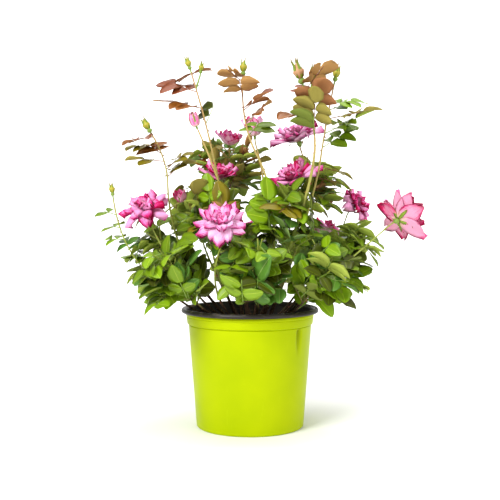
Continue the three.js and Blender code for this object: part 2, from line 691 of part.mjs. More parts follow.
// A closed flower bud with its sepals' point, on a short stalk.
function growBud(parts, from, direction, size) {
  const root = along(from, direction, -2);
  const seat = along(from, direction, size * 1.2);
  const point = along(seat, direction, size * 2.2);
  parts.push(toSolid(straightTwig(root, seat, 1.4, 1.4)));
  const swell = (t) => size * Math.max(0.12, 0.5 * Math.sin(Math.PI * Math.min(1, 0.15 + 0.85 * t)));
  parts.push(toSolid(limb(new THREE.LineCurve3(along(seat, direction, -1), point), swell, 5, 3)));
}

// A mass: its stem, side twigs at golden-angle steps, and leaves on both, all fused into one.
function makeMass(row) {
  const { curve, radiusAt, end, direction } = holders.get(row.name);
  const parts = [toSolid(limb(curve, radiusAt, limbSides, 4))];
  const taken = [];
  growLeaves(parts, row, curve, row.leaves, 0.12, row.seed, taken);
  for (let i = 0; i < row.twigs; i++) {
    const t = between(0.06, 0.86, row.twigs > 1 ? i / (row.twigs - 1) : 0.4);
    const axis = curve.getTangent(t);
    const [u, v] = square(axis);
    const turn = goldenAngle * i + 6.28 * chance(row.seed, i, 31);
    const out = new THREE.Vector3().addScaledVector(u, Math.cos(turn)).addScaledVector(v, Math.sin(turn));
    const aim = axis.clone().multiplyScalar(0.45).addScaledVector(out, 0.85);
    aim.addScaledVector(up, 0.2).normalize();
    const start = curve.getPoint(t);
    let long = row.twigLength * between(0.8, 1.25, chance(row.seed, i, 33));
    while (long > 20 && !lineFree(along(start, aim, 6), along(start, aim, long), row, taken)) long *= 0.8;
    if (long <= 20) continue;
    const twigEnd = along(start, aim, long);
    const leaves = [];
    const line = new THREE.LineCurve3(start, twigEnd);
    if (!growLeaves(leaves, row, line, row.twigLeaves, 0.5, row.seed + 13 * (i + 1), taken)) continue;
    parts.push(toSolid(straightTwig(start, along(twigEnd, aim, 1.2), 1.9, 1.7)), ...leaves);
  }
  const [topBud, sideBud] = row.buds;
  if (topBud) growBud(parts, end, direction, topBud);
  if (sideBud) {
    const start = curve.getPoint(0.8);
    const aim = along(direction, square(direction)[1], -0.7).normalize();
    const side = along(start, aim, sideTwig);
    parts.push(toSolid(straightTwig(start, side, 1.6, 1.4)));
    growBud(parts, side, along(aim, up, 1).normalize(), sideBud);
  }
  return toGeometry(fuse(parts));
}

// ---------------------------------------------------------------- assembly

const finish = {
  pot: { color: 0xb4e600, roughness: 0.38, metalness: 0 },
  mix: { color: 0x2b1d14, roughness: 0.95, metalness: 0 },
  cane: { color: 0x8f8a4a, roughness: 0.7, metalness: 0 },
  green: { color: 0x4a8a1c, roughness: 0.55, metalness: 0 },
  bronze: { color: 0x8a5a2c, roughness: 0.55, metalness: 0 },
  petal: { color: 0xef6fa8, roughness: 0.6, metalness: 0 },
};

const bronzeSprays = ["left_tall", "centre_tall", "right_tall", "left_outer"];

function named(name, geometry, look) {
  geometry.computeVertexNormals();
  const mesh = new THREE.Mesh(geometry, new THREE.MeshStandardMaterial(finish[look]));
  mesh.name = name;
  return mesh;
}

const bush = new THREE.Group();
bush.add(named("pot", makePot(), "pot"));
bush.add(named("potting_mix", makeMix(), "mix"));
for (const row of [...sprays, ...flowerCanes]) {
  bush.add(named("cane_" + row.name, makeCane(row), "cane"));
}
for (const row of sprays) {
  const look = bronzeSprays.includes(row.name) ? "bronze" : "green";
  bush.add(named("leaves_" + row.name, makeMass(row), look));
}
for (const bloom of blooms) {
  bush.add(named("rose_" + bloom.name, makeBloom(bloom), "petal"));
}

export default bush;
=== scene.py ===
# A potted rose bush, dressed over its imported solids. Lengths are worked out in millimetres, in the
# solids' own frame: Z up, the front towards -Y, the origin under the middle of the pot.
import math
import bpy
import numpy as np
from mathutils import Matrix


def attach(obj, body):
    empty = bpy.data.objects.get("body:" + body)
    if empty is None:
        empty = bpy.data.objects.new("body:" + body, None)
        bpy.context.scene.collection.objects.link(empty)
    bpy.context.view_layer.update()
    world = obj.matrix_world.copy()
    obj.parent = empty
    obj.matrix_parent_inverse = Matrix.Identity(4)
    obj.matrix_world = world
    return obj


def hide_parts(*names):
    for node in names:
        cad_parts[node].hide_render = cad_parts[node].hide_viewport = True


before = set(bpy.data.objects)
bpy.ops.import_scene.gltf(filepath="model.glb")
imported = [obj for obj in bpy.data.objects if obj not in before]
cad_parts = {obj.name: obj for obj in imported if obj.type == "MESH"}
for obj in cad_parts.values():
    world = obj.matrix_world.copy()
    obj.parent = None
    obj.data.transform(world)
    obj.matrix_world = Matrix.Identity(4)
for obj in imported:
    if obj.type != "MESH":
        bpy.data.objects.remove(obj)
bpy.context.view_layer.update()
mm = 0.001
print("frame loaded:", len(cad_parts), "solids")


def linked(name, data):  # a new object in the scene
    made = bpy.data.objects.new(name, data)
    bpy.context.scene.collection.objects.link(made)
    return made


view = dict(distance=1.9, height=0.441, pitch=2.54, lens=67.7)  # metres, degrees, millimetres
camera = linked("camera", bpy.data.cameras.new("camera"))
camera.location = (0, -view["distance"], view["height"])
camera.rotation_euler = (math.radians(90 - view["pitch"]), 0, 0)
camera.data.lens = view["lens"]
camera.data.sensor_width = 36
bpy.context.scene.camera = camera
bpy.context.scene.view_settings.view_transform = "Standard"

# Small maths, all on arrays of points in millimetres.

up = np.array([0.0, 0.0, 1.0])
goldenAngle = 2.39996


def unit(v):  # v over its own length
    return v / np.maximum(np.linalg.norm(v, axis=-1, keepdims=True), 1e-9)


def between(low, high, share):  # low + (high - low) * share
    return low + (high - low) * share


def chance(a, b, c):  # fraction of sin(12.9898 a + 78.233 b + 37.719 c + 4.1414) * 43758.5453
    s = math.sin(a * 12.9898 + b * 78.233 + c * 37.719 + 4.1414) * 43758.5453
    return s - math.floor(s)


def chances(count, seed, low=0.0, high=1.0):  # count numbers of the same kind at once
    s = np.sin(np.arange(1, count + 1) * 12.9898 + seed * 78.233) * 43758.5453
    return between(low, high, s - np.floor(s))


def square(axis):  # two directions square to an axis and to each other
    seed = np.array([1.0, 0, 0]) if abs(axis[2]) > 0.95 else up
    u = unit(np.cross(axis, seed))
    return u, unit(np.cross(axis, u))


def turns(count):  # equal steps of angle round a circle
    return np.arange(count) * 2 * np.pi / count


def smooth(low, high, x):  # 3t^2 - 2t^3, where t runs from 0 at low to 1 at high
    t = np.clip((x - low) / (high - low), 0, 1)
    return t * t * (3 - 2 * t)


def lumps(x, y, seed):  # heights by chance at whole x and y, blended by 3t^2 - 2t^3 between them
    i, j = np.floor(x), np.floor(y)
    fx, fy = smooth(0, 1, x - i), smooth(0, 1, y - j)

    def corner(a, b):
        s = np.sin(a * 127.1 + b * 311.7 + seed * 74.7) * 43758.5453
        return s - np.floor(s)

    low = corner(i, j) * (1 - fx) + corner(i + 1, j) * fx
    high = corner(i, j + 1) * (1 - fx) + corner(i + 1, j + 1) * fx
    return low * (1 - fy) + high * fy


class Bend:  # the curve foot (1 - t)^2 + 2 elbow t (1 - t) + tip t^2
    def __init__(self, foot, elbow, tip):
        self.foot, self.elbow, self.tip = (np.array(p, float) for p in (foot, elbow, tip))

    def at(self, t):
        t = np.asarray(t, float)[..., None]
        return self.foot * (1 - t) ** 2 + 2 * self.elbow * t * (1 - t) + self.tip * t**2

    def along(self, t):
        t = np.asarray(t, float)[..., None]
        return unit(2 * (self.elbow - self.foot) * (1 - t) + 2 * (self.tip - self.elbow) * t)

    def length(self):
        return float(np.linalg.norm(np.diff(self.at(np.linspace(0, 1, 60)), axis=0), axis=1).sum())


def straight(start, end):
    return Bend(start, (np.array(start, float) + np.array(end, float)) / 2, end)


# Points and faces of one piece, gathered from many shapes and made one mesh at the end.
class Batch:
    def __init__(self):
        self.points, self.quads, self.triangles = [], [], []
        self.quadSlots, self.triangleSlots, self.uvs, self.tones = [], [], [], []
        self.count = 0

    def add(self, points, quads, triangles=(), slots=0, triangleSlots=0, uv=None, tone=0.5):
        points = np.asarray(points, float).reshape(-1, 3)
        quads = np.asarray(quads, int).reshape(-1, 4)
        triangles = np.asarray(triangles, int).reshape(-1, 3)
        self.points.append(points)
        self.quads.append(quads + self.count)
        self.triangles.append(triangles + self.count)
        self.quadSlots.append(np.broadcast_to(slots, len(quads)))
        self.triangleSlots.append(np.broadcast_to(triangleSlots, len(triangles)))
        self.uvs.append(np.zeros((len(points), 2)) if uv is None else np.asarray(uv).reshape(-1, 2))
        self.tones.append(np.broadcast_to(tone, len(points)))
        self.count += len(points)

    def build(self, name, finishes, slot, replaced=()):
        points, uv = np.concatenate(self.points), np.concatenate(self.uvs)
        quads, triangles = np.concatenate(self.quads), np.concatenate(self.triangles)
        corners = np.concatenate([quads.ravel(), triangles.ravel()]).astype(np.int32)
        sizes = np.concatenate([np.full(len(quads), 4), np.full(len(triangles), 3)])
        mesh = bpy.data.meshes.new(name)
        mesh.vertices.add(len(points))
        mesh.vertices.foreach_set("co", (points * mm).astype(np.float32).ravel())
        mesh.loops.add(len(corners))
        mesh.loops.foreach_set("vertex_index", corners)
        mesh.polygons.add(len(sizes))
        starts = np.concatenate([[0], np.cumsum(sizes)[:-1]]).astype(np.int32)
        mesh.polygons.foreach_set("loop_start", starts)
        for finish in finishes:
            mesh.materials.append(finish.material)
        slots = np.concatenate(self.quadSlots + self.triangleSlots).astype(np.int32)
        mesh.polygons.foreach_set("material_index", slots)
        mesh.polygons.foreach_set("use_smooth", np.ones(len(sizes), bool))
        layer = mesh.uv_layers.new(name="surface")
        layer.data.foreach_set("uv", uv[corners].astype(np.float32).ravel())
        tone = mesh.attributes.new("tone", "FLOAT", "POINT")
        tone.data.foreach_set("value", np.concatenate(self.tones).astype(np.float32))
        mesh.update(calc_edges=True)
        mesh.validate()
        piece = linked(name, mesh)
        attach(piece, "root")
        if replaced:
            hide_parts(*replaced)
        return piece


# Faces of a grid of rings, closed round, each ring of the same number of points.
def ringFaces(rings, sides):
    index = np.arange(rings * sides).reshape(rings, sides)
    after = np.roll(index, -1, axis=1)
    return np.stack([index[:-1], after[:-1], after[1:], index[1:]], -1).reshape(-1, 4)


# Fans of triangles that close the first and last ring on the two points that follow all rings.
def ringCaps(rings, sides):
    low, first = np.arange(sides), rings * sides
    high = low + first - sides
    return np.concatenate([np.stack([np.full(sides, first), np.roll(low, -1), low], -1),
                           np.stack([np.full(sides, first + 1), high, np.roll(high, -1)], -1)])


# Rings of radius r round a path, p + r (cos a * u + sin a * v), closed at both ends. Where r is
# given for every point, it also follows the turn.
def addTube(batch, path, radii, sides, slot):
    path, radii = np.asarray(path, float), np.asarray(radii, float)
    step = unit(np.gradient(path, axis=0))
    seed = np.eye(3)[np.argmin(np.abs(step).max(0))]
    u = unit(np.cross(step, seed))
    v = np.cross(step, u)
    turn = turns(sides)
    ring = u[:, None] * np.cos(turn)[:, None] + v[:, None] * np.sin(turn)[:, None]
    points = path[:, None] + ring * radii.reshape(len(path), -1)[:, :, None]
    points = np.concatenate([points.reshape(-1, 3), path[:1], path[-1:]])
    lengths = np.concatenate([[0], np.cumsum(np.linalg.norm(np.diff(path, axis=0), axis=1))]) / 100
    uv = np.stack([np.tile(turn / (2 * np.pi), len(path)), np.repeat(lengths, sides)], -1)
    uv = np.concatenate([uv, [[0, lengths[0]], [0, lengths[-1]]]])
    batch.add(points, ringFaces(len(path), sides), ringCaps(len(path), sides), slot, slot, uv)


# Many thin stalks at once: start + (end - start) t, tapering to 0.6 of their radius.
def addStalks(batch, starts, ends, radius, slots, rings=4, sides=5):
    count = len(starts)
    t = np.linspace(0, 1, rings)
    path = starts[:, None] + (ends - starts)[:, None] * t[:, None]
    step = unit(ends - starts)
    seed = np.where(np.abs(step[:, 2:]) > 0.9, [[1.0, 0, 0]], up[None])
    u = unit(np.cross(step, seed))
    v = np.cross(step, u)
    turn = turns(sides)
    ring = u[:, None] * np.cos(turn)[:, None] + v[:, None] * np.sin(turn)[:, None]
    radii = (radius * between(1, 0.6, t))[:, None, None]
    points = (path[:, :, None] + ring[:, None] * radii).reshape(count, -1, 3)
    points = np.concatenate([points, path[:, :1], path[:, -1:]], 1)
    quads = ringFaces(rings, sides)
    caps = ringCaps(rings, sides)
    shift = (np.arange(count) * (rings * sides + 2))[:, None, None]
    batch.add(points, quads + shift, caps + shift, np.repeat(slots, len(quads)), np.repeat(slots, len(caps)))


# One leaf or petal as a closed thin shell, on a grid of a, root to tip, and s, side to side. Its
# upper and lower skins share their outline, and meet in a point at the root and at the tip.
def bladeGrid(stations, across, under):
    rows, columns, inner = len(stations), len(across), len(under)
    upper = np.arange(rows * columns).reshape(rows, columns)
    lower = np.arange(rows * inner).reshape(rows, inner) + rows * columns
    lower = np.concatenate([upper[:, :1], lower, upper[:, -1:]], 1)
    root = rows * (columns + inner)
    a = np.concatenate([np.repeat(stations, columns), np.repeat(stations, inner), [0, 1]])
    s = np.concatenate([np.tile(across, rows), np.tile(under, rows), [0, 0]])
    skin = np.concatenate([np.tile(np.abs(across) < 0.99, rows), -np.ones(rows * inner), [0, 0]])

    def skinFaces(grid, flip):
        order = [0, 1, 2, 3] if not flip else [0, 3, 2, 1]  # both skins split along one diagonal
        quads = np.stack([grid[:-1, :-1], grid[:-1, 1:], grid[1:, 1:], grid[1:, :-1]], -1)
        low = np.stack([np.full(grid.shape[1] - 1, root), grid[0, 1:], grid[0, :-1]], -1)
        high = np.stack([np.full(grid.shape[1] - 1, root + 1), grid[-1, :-1], grid[-1, 1:]], -1)
        ends = np.concatenate([low, high])
        return quads.reshape(-1, 4)[:, order], ends[:, ::-1] if flip else ends

    upQuads, upEnds = skinFaces(upper, False)
    lowQuads, lowEnds = skinFaces(lower, True)
    rib = np.where(np.abs(np.asarray(across)[:-1] + np.asarray(across)[1:]) < 1e-6, 1, 0)
    return dict(a=a, s=s, skin=skin, size=len(a),
                quads=np.concatenate([upQuads, lowQuads]), triangles=np.concatenate([upEnds, lowEnds]),
                quadKind=np.concatenate([np.tile(rib, rows - 1), np.full(len(lowQuads), 2)]),
                triangleKind=np.concatenate([np.tile(rib, 2), np.full(len(lowEnds), 2)]))


# Puts one grid into a batch for every row of points, with its own slots.
def addBlades(batch, grid, points, quadSlots, triangleSlots, tone):
    count = len(points)
    shift = (np.arange(count) * grid["size"])[:, None, None]
    uv = np.stack([grid["s"] / 2 + 0.5, grid["a"]], -1)
    batch.add(points, grid["quads"] + shift, grid["triangles"] + shift, quadSlots.ravel(),
              triangleSlots.ravel(), np.tile(uv, (count, 1)), np.repeat(tone, grid["size"]))


# Shader maths. A Wire wraps a socket, and arithmetic on it adds Math nodes.
class Wire:
    def __init__(self, paint, socket):
        self.paint, self.socket = paint, socket

    def maths(self, operation, first, second=0.0):
        settings = dict(operation=operation)
        return self.paint.node("ShaderNodeMath", settings, {0: first, 1: second})

    def __add__(self, other):
        return self.maths("ADD", self, other)

    def __mul__(self, other):
        return self.maths("MULTIPLY", self, other)

    def __sub__(self, other):
        return self.maths("SUBTRACT", self, other)

    def __rsub__(self, other):
        return self.maths("SUBTRACT", other, self)

    def __pow__(self, other):
        return self.maths("POWER", self, other)

    def __abs__(self):
        return self.maths("ABSOLUTE", self)

    __radd__ = __add__
    __rmul__ = __mul__


def colour(code):  # a screen colour such as "7fae3a" as the linear values that a socket takes
    parts = np.array([int(code[i:i + 2], 16) / 255 for i in (0, 2, 4)])
    linear = np.where(parts <= 0.04045, parts / 12.92, ((parts + 0.055) / 1.055) ** 2.4)
    return (*linear.tolist(), 1.0)


# A material with plain values, and short names for the nodes that can feed it.
class Paint:
    def __init__(self, name, base, rough=0.5, shine=0.5):
        self.material = bpy.data.materials.new(name)
        self.material.use_nodes = True
        self.tree = self.material.node_tree
        self.shader = self.tree.nodes["Principled BSDF"]
        self.shader.inputs["Base Color"].default_value = colour(base)
        self.material.diffuse_color = colour(base)
        self.shader.inputs["Roughness"].default_value = rough
        self.shader.inputs["Specular IOR Level"].default_value = shine

    def node(self, kind, settings=None, values=None, out=0):
        made = self.tree.nodes.new(kind)
        for key, value in (settings or {}).items():
            setattr(made, key, value)
        for key, value in (values or {}).items():
            self.plug(made.inputs[key], value)
        return Wire(self, made.outputs[out])

    def plug(self, socket, value):
        if isinstance(value, Wire):
            self.tree.links.new(value.socket, socket)
        else:
            socket.default_value = value

    def feed(self, name, value):
        self.plug(self.shader.inputs[name], value)

    def place(self):  # the piece's own coordinates, in metres
        return self.node("ShaderNodeTexCoord", out="Object")

    def parts(self, vector):  # x, y and z
        split = self.node("ShaderNodeSeparateXYZ", None, {0: vector})
        return [Wire(self, output) for output in split.socket.node.outputs]

    def stretch(self, vector, scale):
        return self.node("ShaderNodeMapping", None, {"Vector": vector, "Scale": scale})

    def noise(self, vector, scale, detail=2.0, rough=0.5):
        return self.node("ShaderNodeTexNoise", None,
                         {"Vector": vector, "Scale": scale, "Detail": detail, "Roughness": rough})

    def ramp(self, value, low, high, to=(0.0, 1.0)):  # to[0] at low, to[1] at high, held beyond them
        return self.node("ShaderNodeMapRange", None, {0: value, 1: low, 2: high, 3: to[0], 4: to[1]})

    def blend(self, share, first, second):  # first * (1 - share) + second * share, as colours
        return self.node("ShaderNodeMix", dict(data_type="RGBA"), {0: share, 6: first, 7: second}, 2)

    def bump(self, height, distance):
        return self.node("ShaderNodeBump", None, {"Height": height, "Distance": distance})


# The pot: a green outer wall, and a black lining with the rolled rim.

pot = dict(height=241, baseRadius=108.5, wallRadius=124.4, bandRadius=127, neckRadius=130, rimRadius=139,
           stepHeight=210, rimDepth=11, wall=1.6, floor=2.5, drainHoles=4, drainRadius=8, drainRing=84,
           sides=240, grooveHeight=224.5, groove=1.0, undercut=1.2, rimLift=1.8,
           lugAngle=-39, lugWidth=19, lugDepth=7.0, lugFoot=(146, 202), lugHead=(204, 206.5))
mix = dict(top=205, clearance=0.5, rise=3.5, level=(40, 90), lumps=(9, 24), chips=1500, grains=260)
joint = 0.3  # the gap between a cane and what it carries


def potRadius(z):  # straight from base to step, and from band to neck
    wall = between(pot["baseRadius"], pot["wallRadius"], z / pot["stepHeight"])
    underRim = pot["height"] - pot["rimDepth"]
    share = (z - pot["stepHeight"]) / (underRim - pot["stepHeight"])
    return np.where(z > pot["stepHeight"], between(pot["bandRadius"], pot["neckRadius"], share), wall)


# A closed profile of radius and height turned round Z, with a fan where it meets the axis.
def turned(batch, profile, sides, dent=None):
    profile = np.asarray(profile, float)
    turn = turns(sides)
    inner = profile[1:-1]
    radius = inner[:, :1] + np.zeros(sides)
    height = inner[:, 1:] + np.zeros(sides)
    if dent is not None:
        radius = radius - dent(height, turn)
    points = np.stack([radius * np.cos(turn), radius * np.sin(turn), height], -1).reshape(-1, 3)
    points = np.concatenate([points, [[0, 0, profile[0, 1]], [0, 0, profile[-1, 1]]]])
    uv = np.stack([np.tile(turn, len(inner)) / 6.2832, np.repeat(inner[:, 1], sides) / 100], -1)
    uv = np.concatenate([uv, np.zeros((2, 2))])
    batch.add(points, ringFaces(len(inner), sides), ringCaps(len(inner), sides), uv=uv)


# The recess for a handling lug: depth * bell across the angle * fade down the wall.
def lugDent(height, turn):
    off = (turn - math.radians(pot["lugAngle"]) + np.pi) % (2 * np.pi) - np.pi
    across = 1 - smooth(0, 1, np.abs(off) * pot["wallRadius"] / (pot["lugWidth"] / 2))
    down = smooth(*pot["lugFoot"], height) * (1 - smooth(*pot["lugHead"], height))
    return pot["lugDepth"] * across * down


# Cuts the drain holes through the floor.
def drain(piece):
    cut = Batch()
    turn = turns(24)
    for i in range(pot["drainHoles"]):
        angle = 2 * np.pi * i / pot["drainHoles"]
        middle = pot["drainRing"] * np.array([math.cos(angle), math.sin(angle), 0])
        circle = np.stack([np.cos(turn), np.sin(turn), turn * 0], -1) * pot["drainRadius"] + middle
        rings = np.concatenate([circle - up * 10, circle + up * 15, [middle - up * 10, middle + up * 15]])
        cut.add(rings, ringFaces(2, 24), ringCaps(2, 24))
    mesh = bpy.data.meshes.new("cutter")
    corners = np.concatenate(cut.quads).tolist() + np.concatenate(cut.triangles).tolist()
    mesh.from_pydata((np.concatenate(cut.points) * mm).tolist(), [], corners)
    cutter = linked("cutter", mesh)
    modifier = piece.modifiers.new("drain", "BOOLEAN")
    modifier.operation, modifier.solver, modifier.object = "DIFFERENCE", "EXACT", cutter
    seen = piece.evaluated_get(bpy.context.evaluated_depsgraph_get())
    cutMesh = bpy.data.meshes.new_from_object(seen)
    piece.modifiers.clear()
    piece.data = cutMesh
    bpy.data.objects.remove(cutter)


limePaint = Paint("limePlastic", "bcd400", 0.34, 0.05)
where = limePaint.place()
cloud = limePaint.noise(where, 9.0, 3.0)
grain = limePaint.noise(limePaint.stretch(where, (30, 30, 700)), 1.0, 2.0)
rub = limePaint.ramp(limePaint.noise(limePaint.stretch(where, (260, 260, 30)), 1.0, 3.0), 0.66, 0.78)
tint = limePaint.blend(limePaint.ramp(cloud, 0.35, 0.7), colour("a8bb00"), colour("b4c400"))
x, y, z = limePaint.parts(where)
# Painted shade: a darker olive in the lug recess, strongest under the step and fading down the wall,
# darkening the hollow beyond what the dent's own shading gives.
lug = math.radians(pot["lugAngle"])
across = abs(y * math.cos(lug) - x * math.sin(lug))
outwards = x * math.cos(lug) + y * math.sin(lug)
paintedRecessShade = limePaint.ramp(across, 0.0075, 0.001) * limePaint.ramp(z, 0.148, 0.2)
paintedRecessShade = paintedRecessShade * limePaint.ramp(outwards, 0.06, 0.09) * limePaint.ramp(z, 0.2068, 0.2058)
tint = limePaint.blend(paintedRecessShade * 0.8, tint, colour("767c00"))
limePaint.feed("Base Color", limePaint.blend(rub * 0.2, tint, colour("c8d820")))
limePaint.feed("Roughness", limePaint.ramp(cloud, 0.3, 0.7, (0.28, 0.4)) + rub * 0.15)
limePaint.feed("Normal", limePaint.bump(grain, 0.00004))

blackPaint = Paint("blackPlastic", "0c0c0d", shine=0.4)
where = blackPaint.place()
cloud = blackPaint.noise(where, 26.0, 4.0)
scuff = blackPaint.ramp(blackPaint.noise(blackPaint.stretch(where, (60, 60, 240)), 1.0, 3.0), 0.56, 0.74)
# Pale scuffs all over, much stronger on the top of the rolled rim: partly wear, and partly a painted sheen
# along the crest.
crestWearAndSheen = blackPaint.ramp(blackPaint.parts(where)[2], 0.2375, 0.241)
scuffAndSheen = scuff * (0.12 + 0.5 * crestWearAndSheen)
blackPaint.feed("Base Color", blackPaint.blend(scuffAndSheen, colour("241e19"), colour("a29280")))
blackPaint.feed("Roughness", blackPaint.ramp(cloud, 0.3, 0.7, (0.36, 0.52)))
blackPaint.feed("Normal", blackPaint.bump(cloud, 0.00012))


# Straight runs through these points. Each corner is rounded by a (1 - t)^2 + 2 corner t (1 - t) +
# b t^2, where a and b lie on the runs before and after it.
def filleted(corners, size):
    corners = np.asarray(corners, float)
    out = [corners[:1]]
    for before, here, after in zip(corners[:-2], corners[1:-1], corners[2:]):
        back, on = before - here, after - here
        reach = min(size, 0.45 * np.linalg.norm(back), 0.45 * np.linalg.norm(on))
        a, b = here + unit(back) * reach, here + unit(on) * reach
        t = np.linspace(0, 1, 4)[:, None]
        out.append(a * (1 - t) ** 2 + 2 * here * t * (1 - t) + b * t**2)
    out.append(corners[-1:])
    return np.concatenate(out)


def divided(profile, longest):  # more points on long runs
    out = []
    for a, b in zip(profile[:-1], profile[1:]):
        steps = max(1, math.ceil(np.linalg.norm(b - a) / longest))
        out.append(a + (b - a) * (np.arange(steps) / steps)[:, None])
    return np.concatenate(out + [profile[-1:]])


# The wall is two skins: the green one outside, and the black lining that fills it and rolls over.
r, base, band, neck = potRadius, pot["baseRadius"], pot["bandRadius"], pot["neckRadius"]
rim, thick, skin, grooveAt = pot["rimRadius"], pot["wall"], 0.8, pot["grooveHeight"]
underRim = pot["height"] - pot["rimDepth"]
wallTop = underRim + pot["rimLift"]
lugRows = np.arange(142, 207, 4.0)
outside = [[0, 0.0], [0.6, 0], [92, 0], [94, 1.2], [100, 1.2], [102, 0], [base - 2.2, 0], [r(2.4), 2.4],
           *[[r(z), z] for z in lugRows], [r(206.4), 206.4], [r(207) - pot["undercut"], 207.2],
           [r(207) - pot["undercut"], 208.4], [band, 209.6], [r(grooveAt - 0.9), grooveAt - 0.9],
           [r(grooveAt) - pot["groove"], grooveAt], [r(grooveAt + 0.9), grooveAt + 0.9], [neck, wallTop]]
inside = [[neck - skin, wallTop], [band - skin - 0.6, 211.4], [r(207.6) - skin - 1.2, 209.0],
          *[[r(z) - skin - 0.2, z] for z in lugRows[::-1]], [r(3.5) - skin, 3.4], [base - 5, 1.9],
          [0.6, 1.9], [0, 1.9]]
wall = Batch()
profile = np.concatenate([filleted(outside, 0.7), filleted(inside, 1.0)])
turned(wall, divided(profile, 7.0), pot["sides"], lugDent)
drain(wall.build("potWall", [limePaint], "pot_green", ["pot"]))

lining = [[0, 1.95], [0.6, 1.95], [base - 5.1, 1.95], [r(3.5) - skin - 0.05, 3.5],
          *[[r(z) - skin - 0.25, z] for z in lugRows], [r(207.6) - skin - 1.25, 209.0],
          [band - skin - 0.65, 211.5], [neck - skin - 0.05, wallTop + 0.1], [neck + 0.1, wallTop + 0.15],
          [rim - 2.2, wallTop], [rim - 0.4, wallTop + 1], [rim, wallTop + 2.6], [rim - 0.3, underRim + 7],
          [rim - 1.6, 239.4], [rim - 3.4, 240.8], [rim - 5.4, 240.9], [rim - 7.6, 239.6],
          [neck - thick + 0.4, 236], [neck - thick, underRim], [band - thick - 0.3, 211.7],
          [r(207.6) - thick - 0.7, 209.2], *[[r(z) - thick, z] for z in lugRows[::-1]],
          [r(4) - thick, 4], [base - 6, pot["floor"]], [0.6, pot["floor"]], [0, pot["floor"]]]
black = Batch()
turned(black, divided(filleted(lining, 1.0), 7.0), pot["sides"], lugDent)
drain(black.build("potLining", [blackPaint], "pot_black", ["pot"]))
print("pot made")

# The potting mix: a bed with a lumpy top, and bark chips and white grains lying on it.

mixPaint = Paint("pottingMix", "1d130c", shine=0.2)
where = mixPaint.place()
speck = mixPaint.noise(where, 420.0, 4.0, 0.65)
dry = mixPaint.ramp(speck, 0.35, 0.7)
mixPaint.feed("Base Color", mixPaint.blend(dry, colour("150e09"), colour("3d2a1c")))
mixPaint.feed("Roughness", mixPaint.ramp(speck, 0.3, 0.7, (0.8, 0.98)))
mixPaint.feed("Normal", mixPaint.bump(speck, 0.0012))
chipPaint = Paint("barkChip", "3a2415", 0.85)
paleChipPaint = Paint("paleChip", "6b4a30", 0.85)
grainPaint = Paint("whiteGrain", "c9c3b4", 0.9)


def bedHeight(x, y):  # gentle lumps of two sizes, flat where the canes stand
    open, (fineStep, step) = smooth(*mix["level"], np.hypot(x, y)), mix["lumps"]
    small, large = lumps(x / fineStep, y / fineStep, 3), lumps(x / step, y / step, 8)
    return mix["top"] - 1.2 + 1.6 * small + open * mix["rise"] * 0.8 * large


# The bed is rings from the floor up the wall and in over the top. Chips are eight-faced lumps:
# middle + stretched axes of an octahedron, turned by chance.
def makeBed():
    low = pot["floor"] + mix["clearance"]
    sides, rings = 120, 46

    def inside(z):
        return r(z) - pot["wall"] - mix["clearance"]

    turn = turns(sides)
    share = np.linspace(1, 0.012, rings)[:, None]
    radii = (inside(mix["top"]) - lugDent(mix["top"], turn) * share**6) * share
    x, y = radii * np.cos(turn), radii * np.sin(turn)
    top = np.stack([x, y, bedHeight(x, y)], -1)
    heights = np.concatenate([[low], lugRows[:-1]])[:, None]
    radii = inside(heights) - lugDent(heights, turn)
    side = np.stack([radii * np.cos(turn), radii * np.sin(turn), heights + turn * 0], -1)
    inner = side[:1] * [0.01, 0.01, 1]
    points = np.concatenate([inner, side, top]).reshape(-1, 3)
    points = np.concatenate([points, [[0, 0, low], [0, 0, bedHeight(0.0, 0.0)]]])
    bed = Batch()
    rows = 1 + len(side) + rings
    bed.add(points, ringFaces(rows, sides), ringCaps(rows, sides))
    count = mix["chips"] + mix["grains"]
    isGrain = np.arange(count) >= mix["chips"]
    size = np.where(isGrain, chances(count, 7, 0.5, 1.3), chances(count, 8, 1.2, 4.6) ** 1.15)
    long = np.where(isGrain, 1, chances(count, 12, 1.0, 1.9))
    angle = chances(count, 6, 0, 2 * np.pi)
    widest = inside(mix["top"]) - 1 - lugDent(mix["top"], angle) - size * long  # short of the wall
    distance = widest * np.sqrt(chances(count, 5))
    x, y = distance * np.cos(angle), distance * np.sin(angle)
    middle = np.stack([x, y, bedHeight(x, y) + size * 0.12], -1)
    spin, tilt = chances(count, 9, 0, 6.28), chances(count, 10, -0.5, 0.5)
    u = np.stack([np.cos(spin), np.sin(spin), tilt], -1)
    v = np.cross(up, unit(u))
    w = np.cross(unit(u), unit(v))
    flat = np.where(isGrain, 0.8, chances(count, 11, 0.25, 0.55))
    axes = [unit(u) * (size * long)[:, None], unit(v) * (size * 0.75)[:, None], w * (size * flat)[:, None]]
    corners = np.stack([axes[0], axes[1], -axes[0], -axes[1], axes[2], -axes[2]], 1) + middle[:, None]
    faces = np.array([[0, 1, 4], [1, 2, 4], [2, 3, 4], [3, 0, 4], [1, 0, 5], [2, 1, 5], [3, 2, 5], [0, 3, 5]])
    shift = (np.arange(count) * 6)[:, None, None]
    slots = np.where(isGrain, 3, np.where(chances(count, 13) > 0.72, 2, 1))
    bed.add(corners, np.zeros((0, 4)), faces + shift, 0, np.repeat(slots, 8))
    finishes = [mixPaint, chipPaint, paleChipPaint, grainPaint]
    piece = bed.build("mixBed", finishes, "potting_mix", ["potting_mix"])
    piece.data.polygons.foreach_set("use_smooth", np.arange(len(piece.data.polygons)) < len(bed.quads[0]))


makeBed()
print("potting mix made")

# The bush. Each spray is a cane that forks into a mass: a stem from fork to tip, twigs and leaves.
# Feet stand on the mix, and spread is the reach of a mass round its centre. A tier gives what its
# sprays share, and a spray's own values come after it.

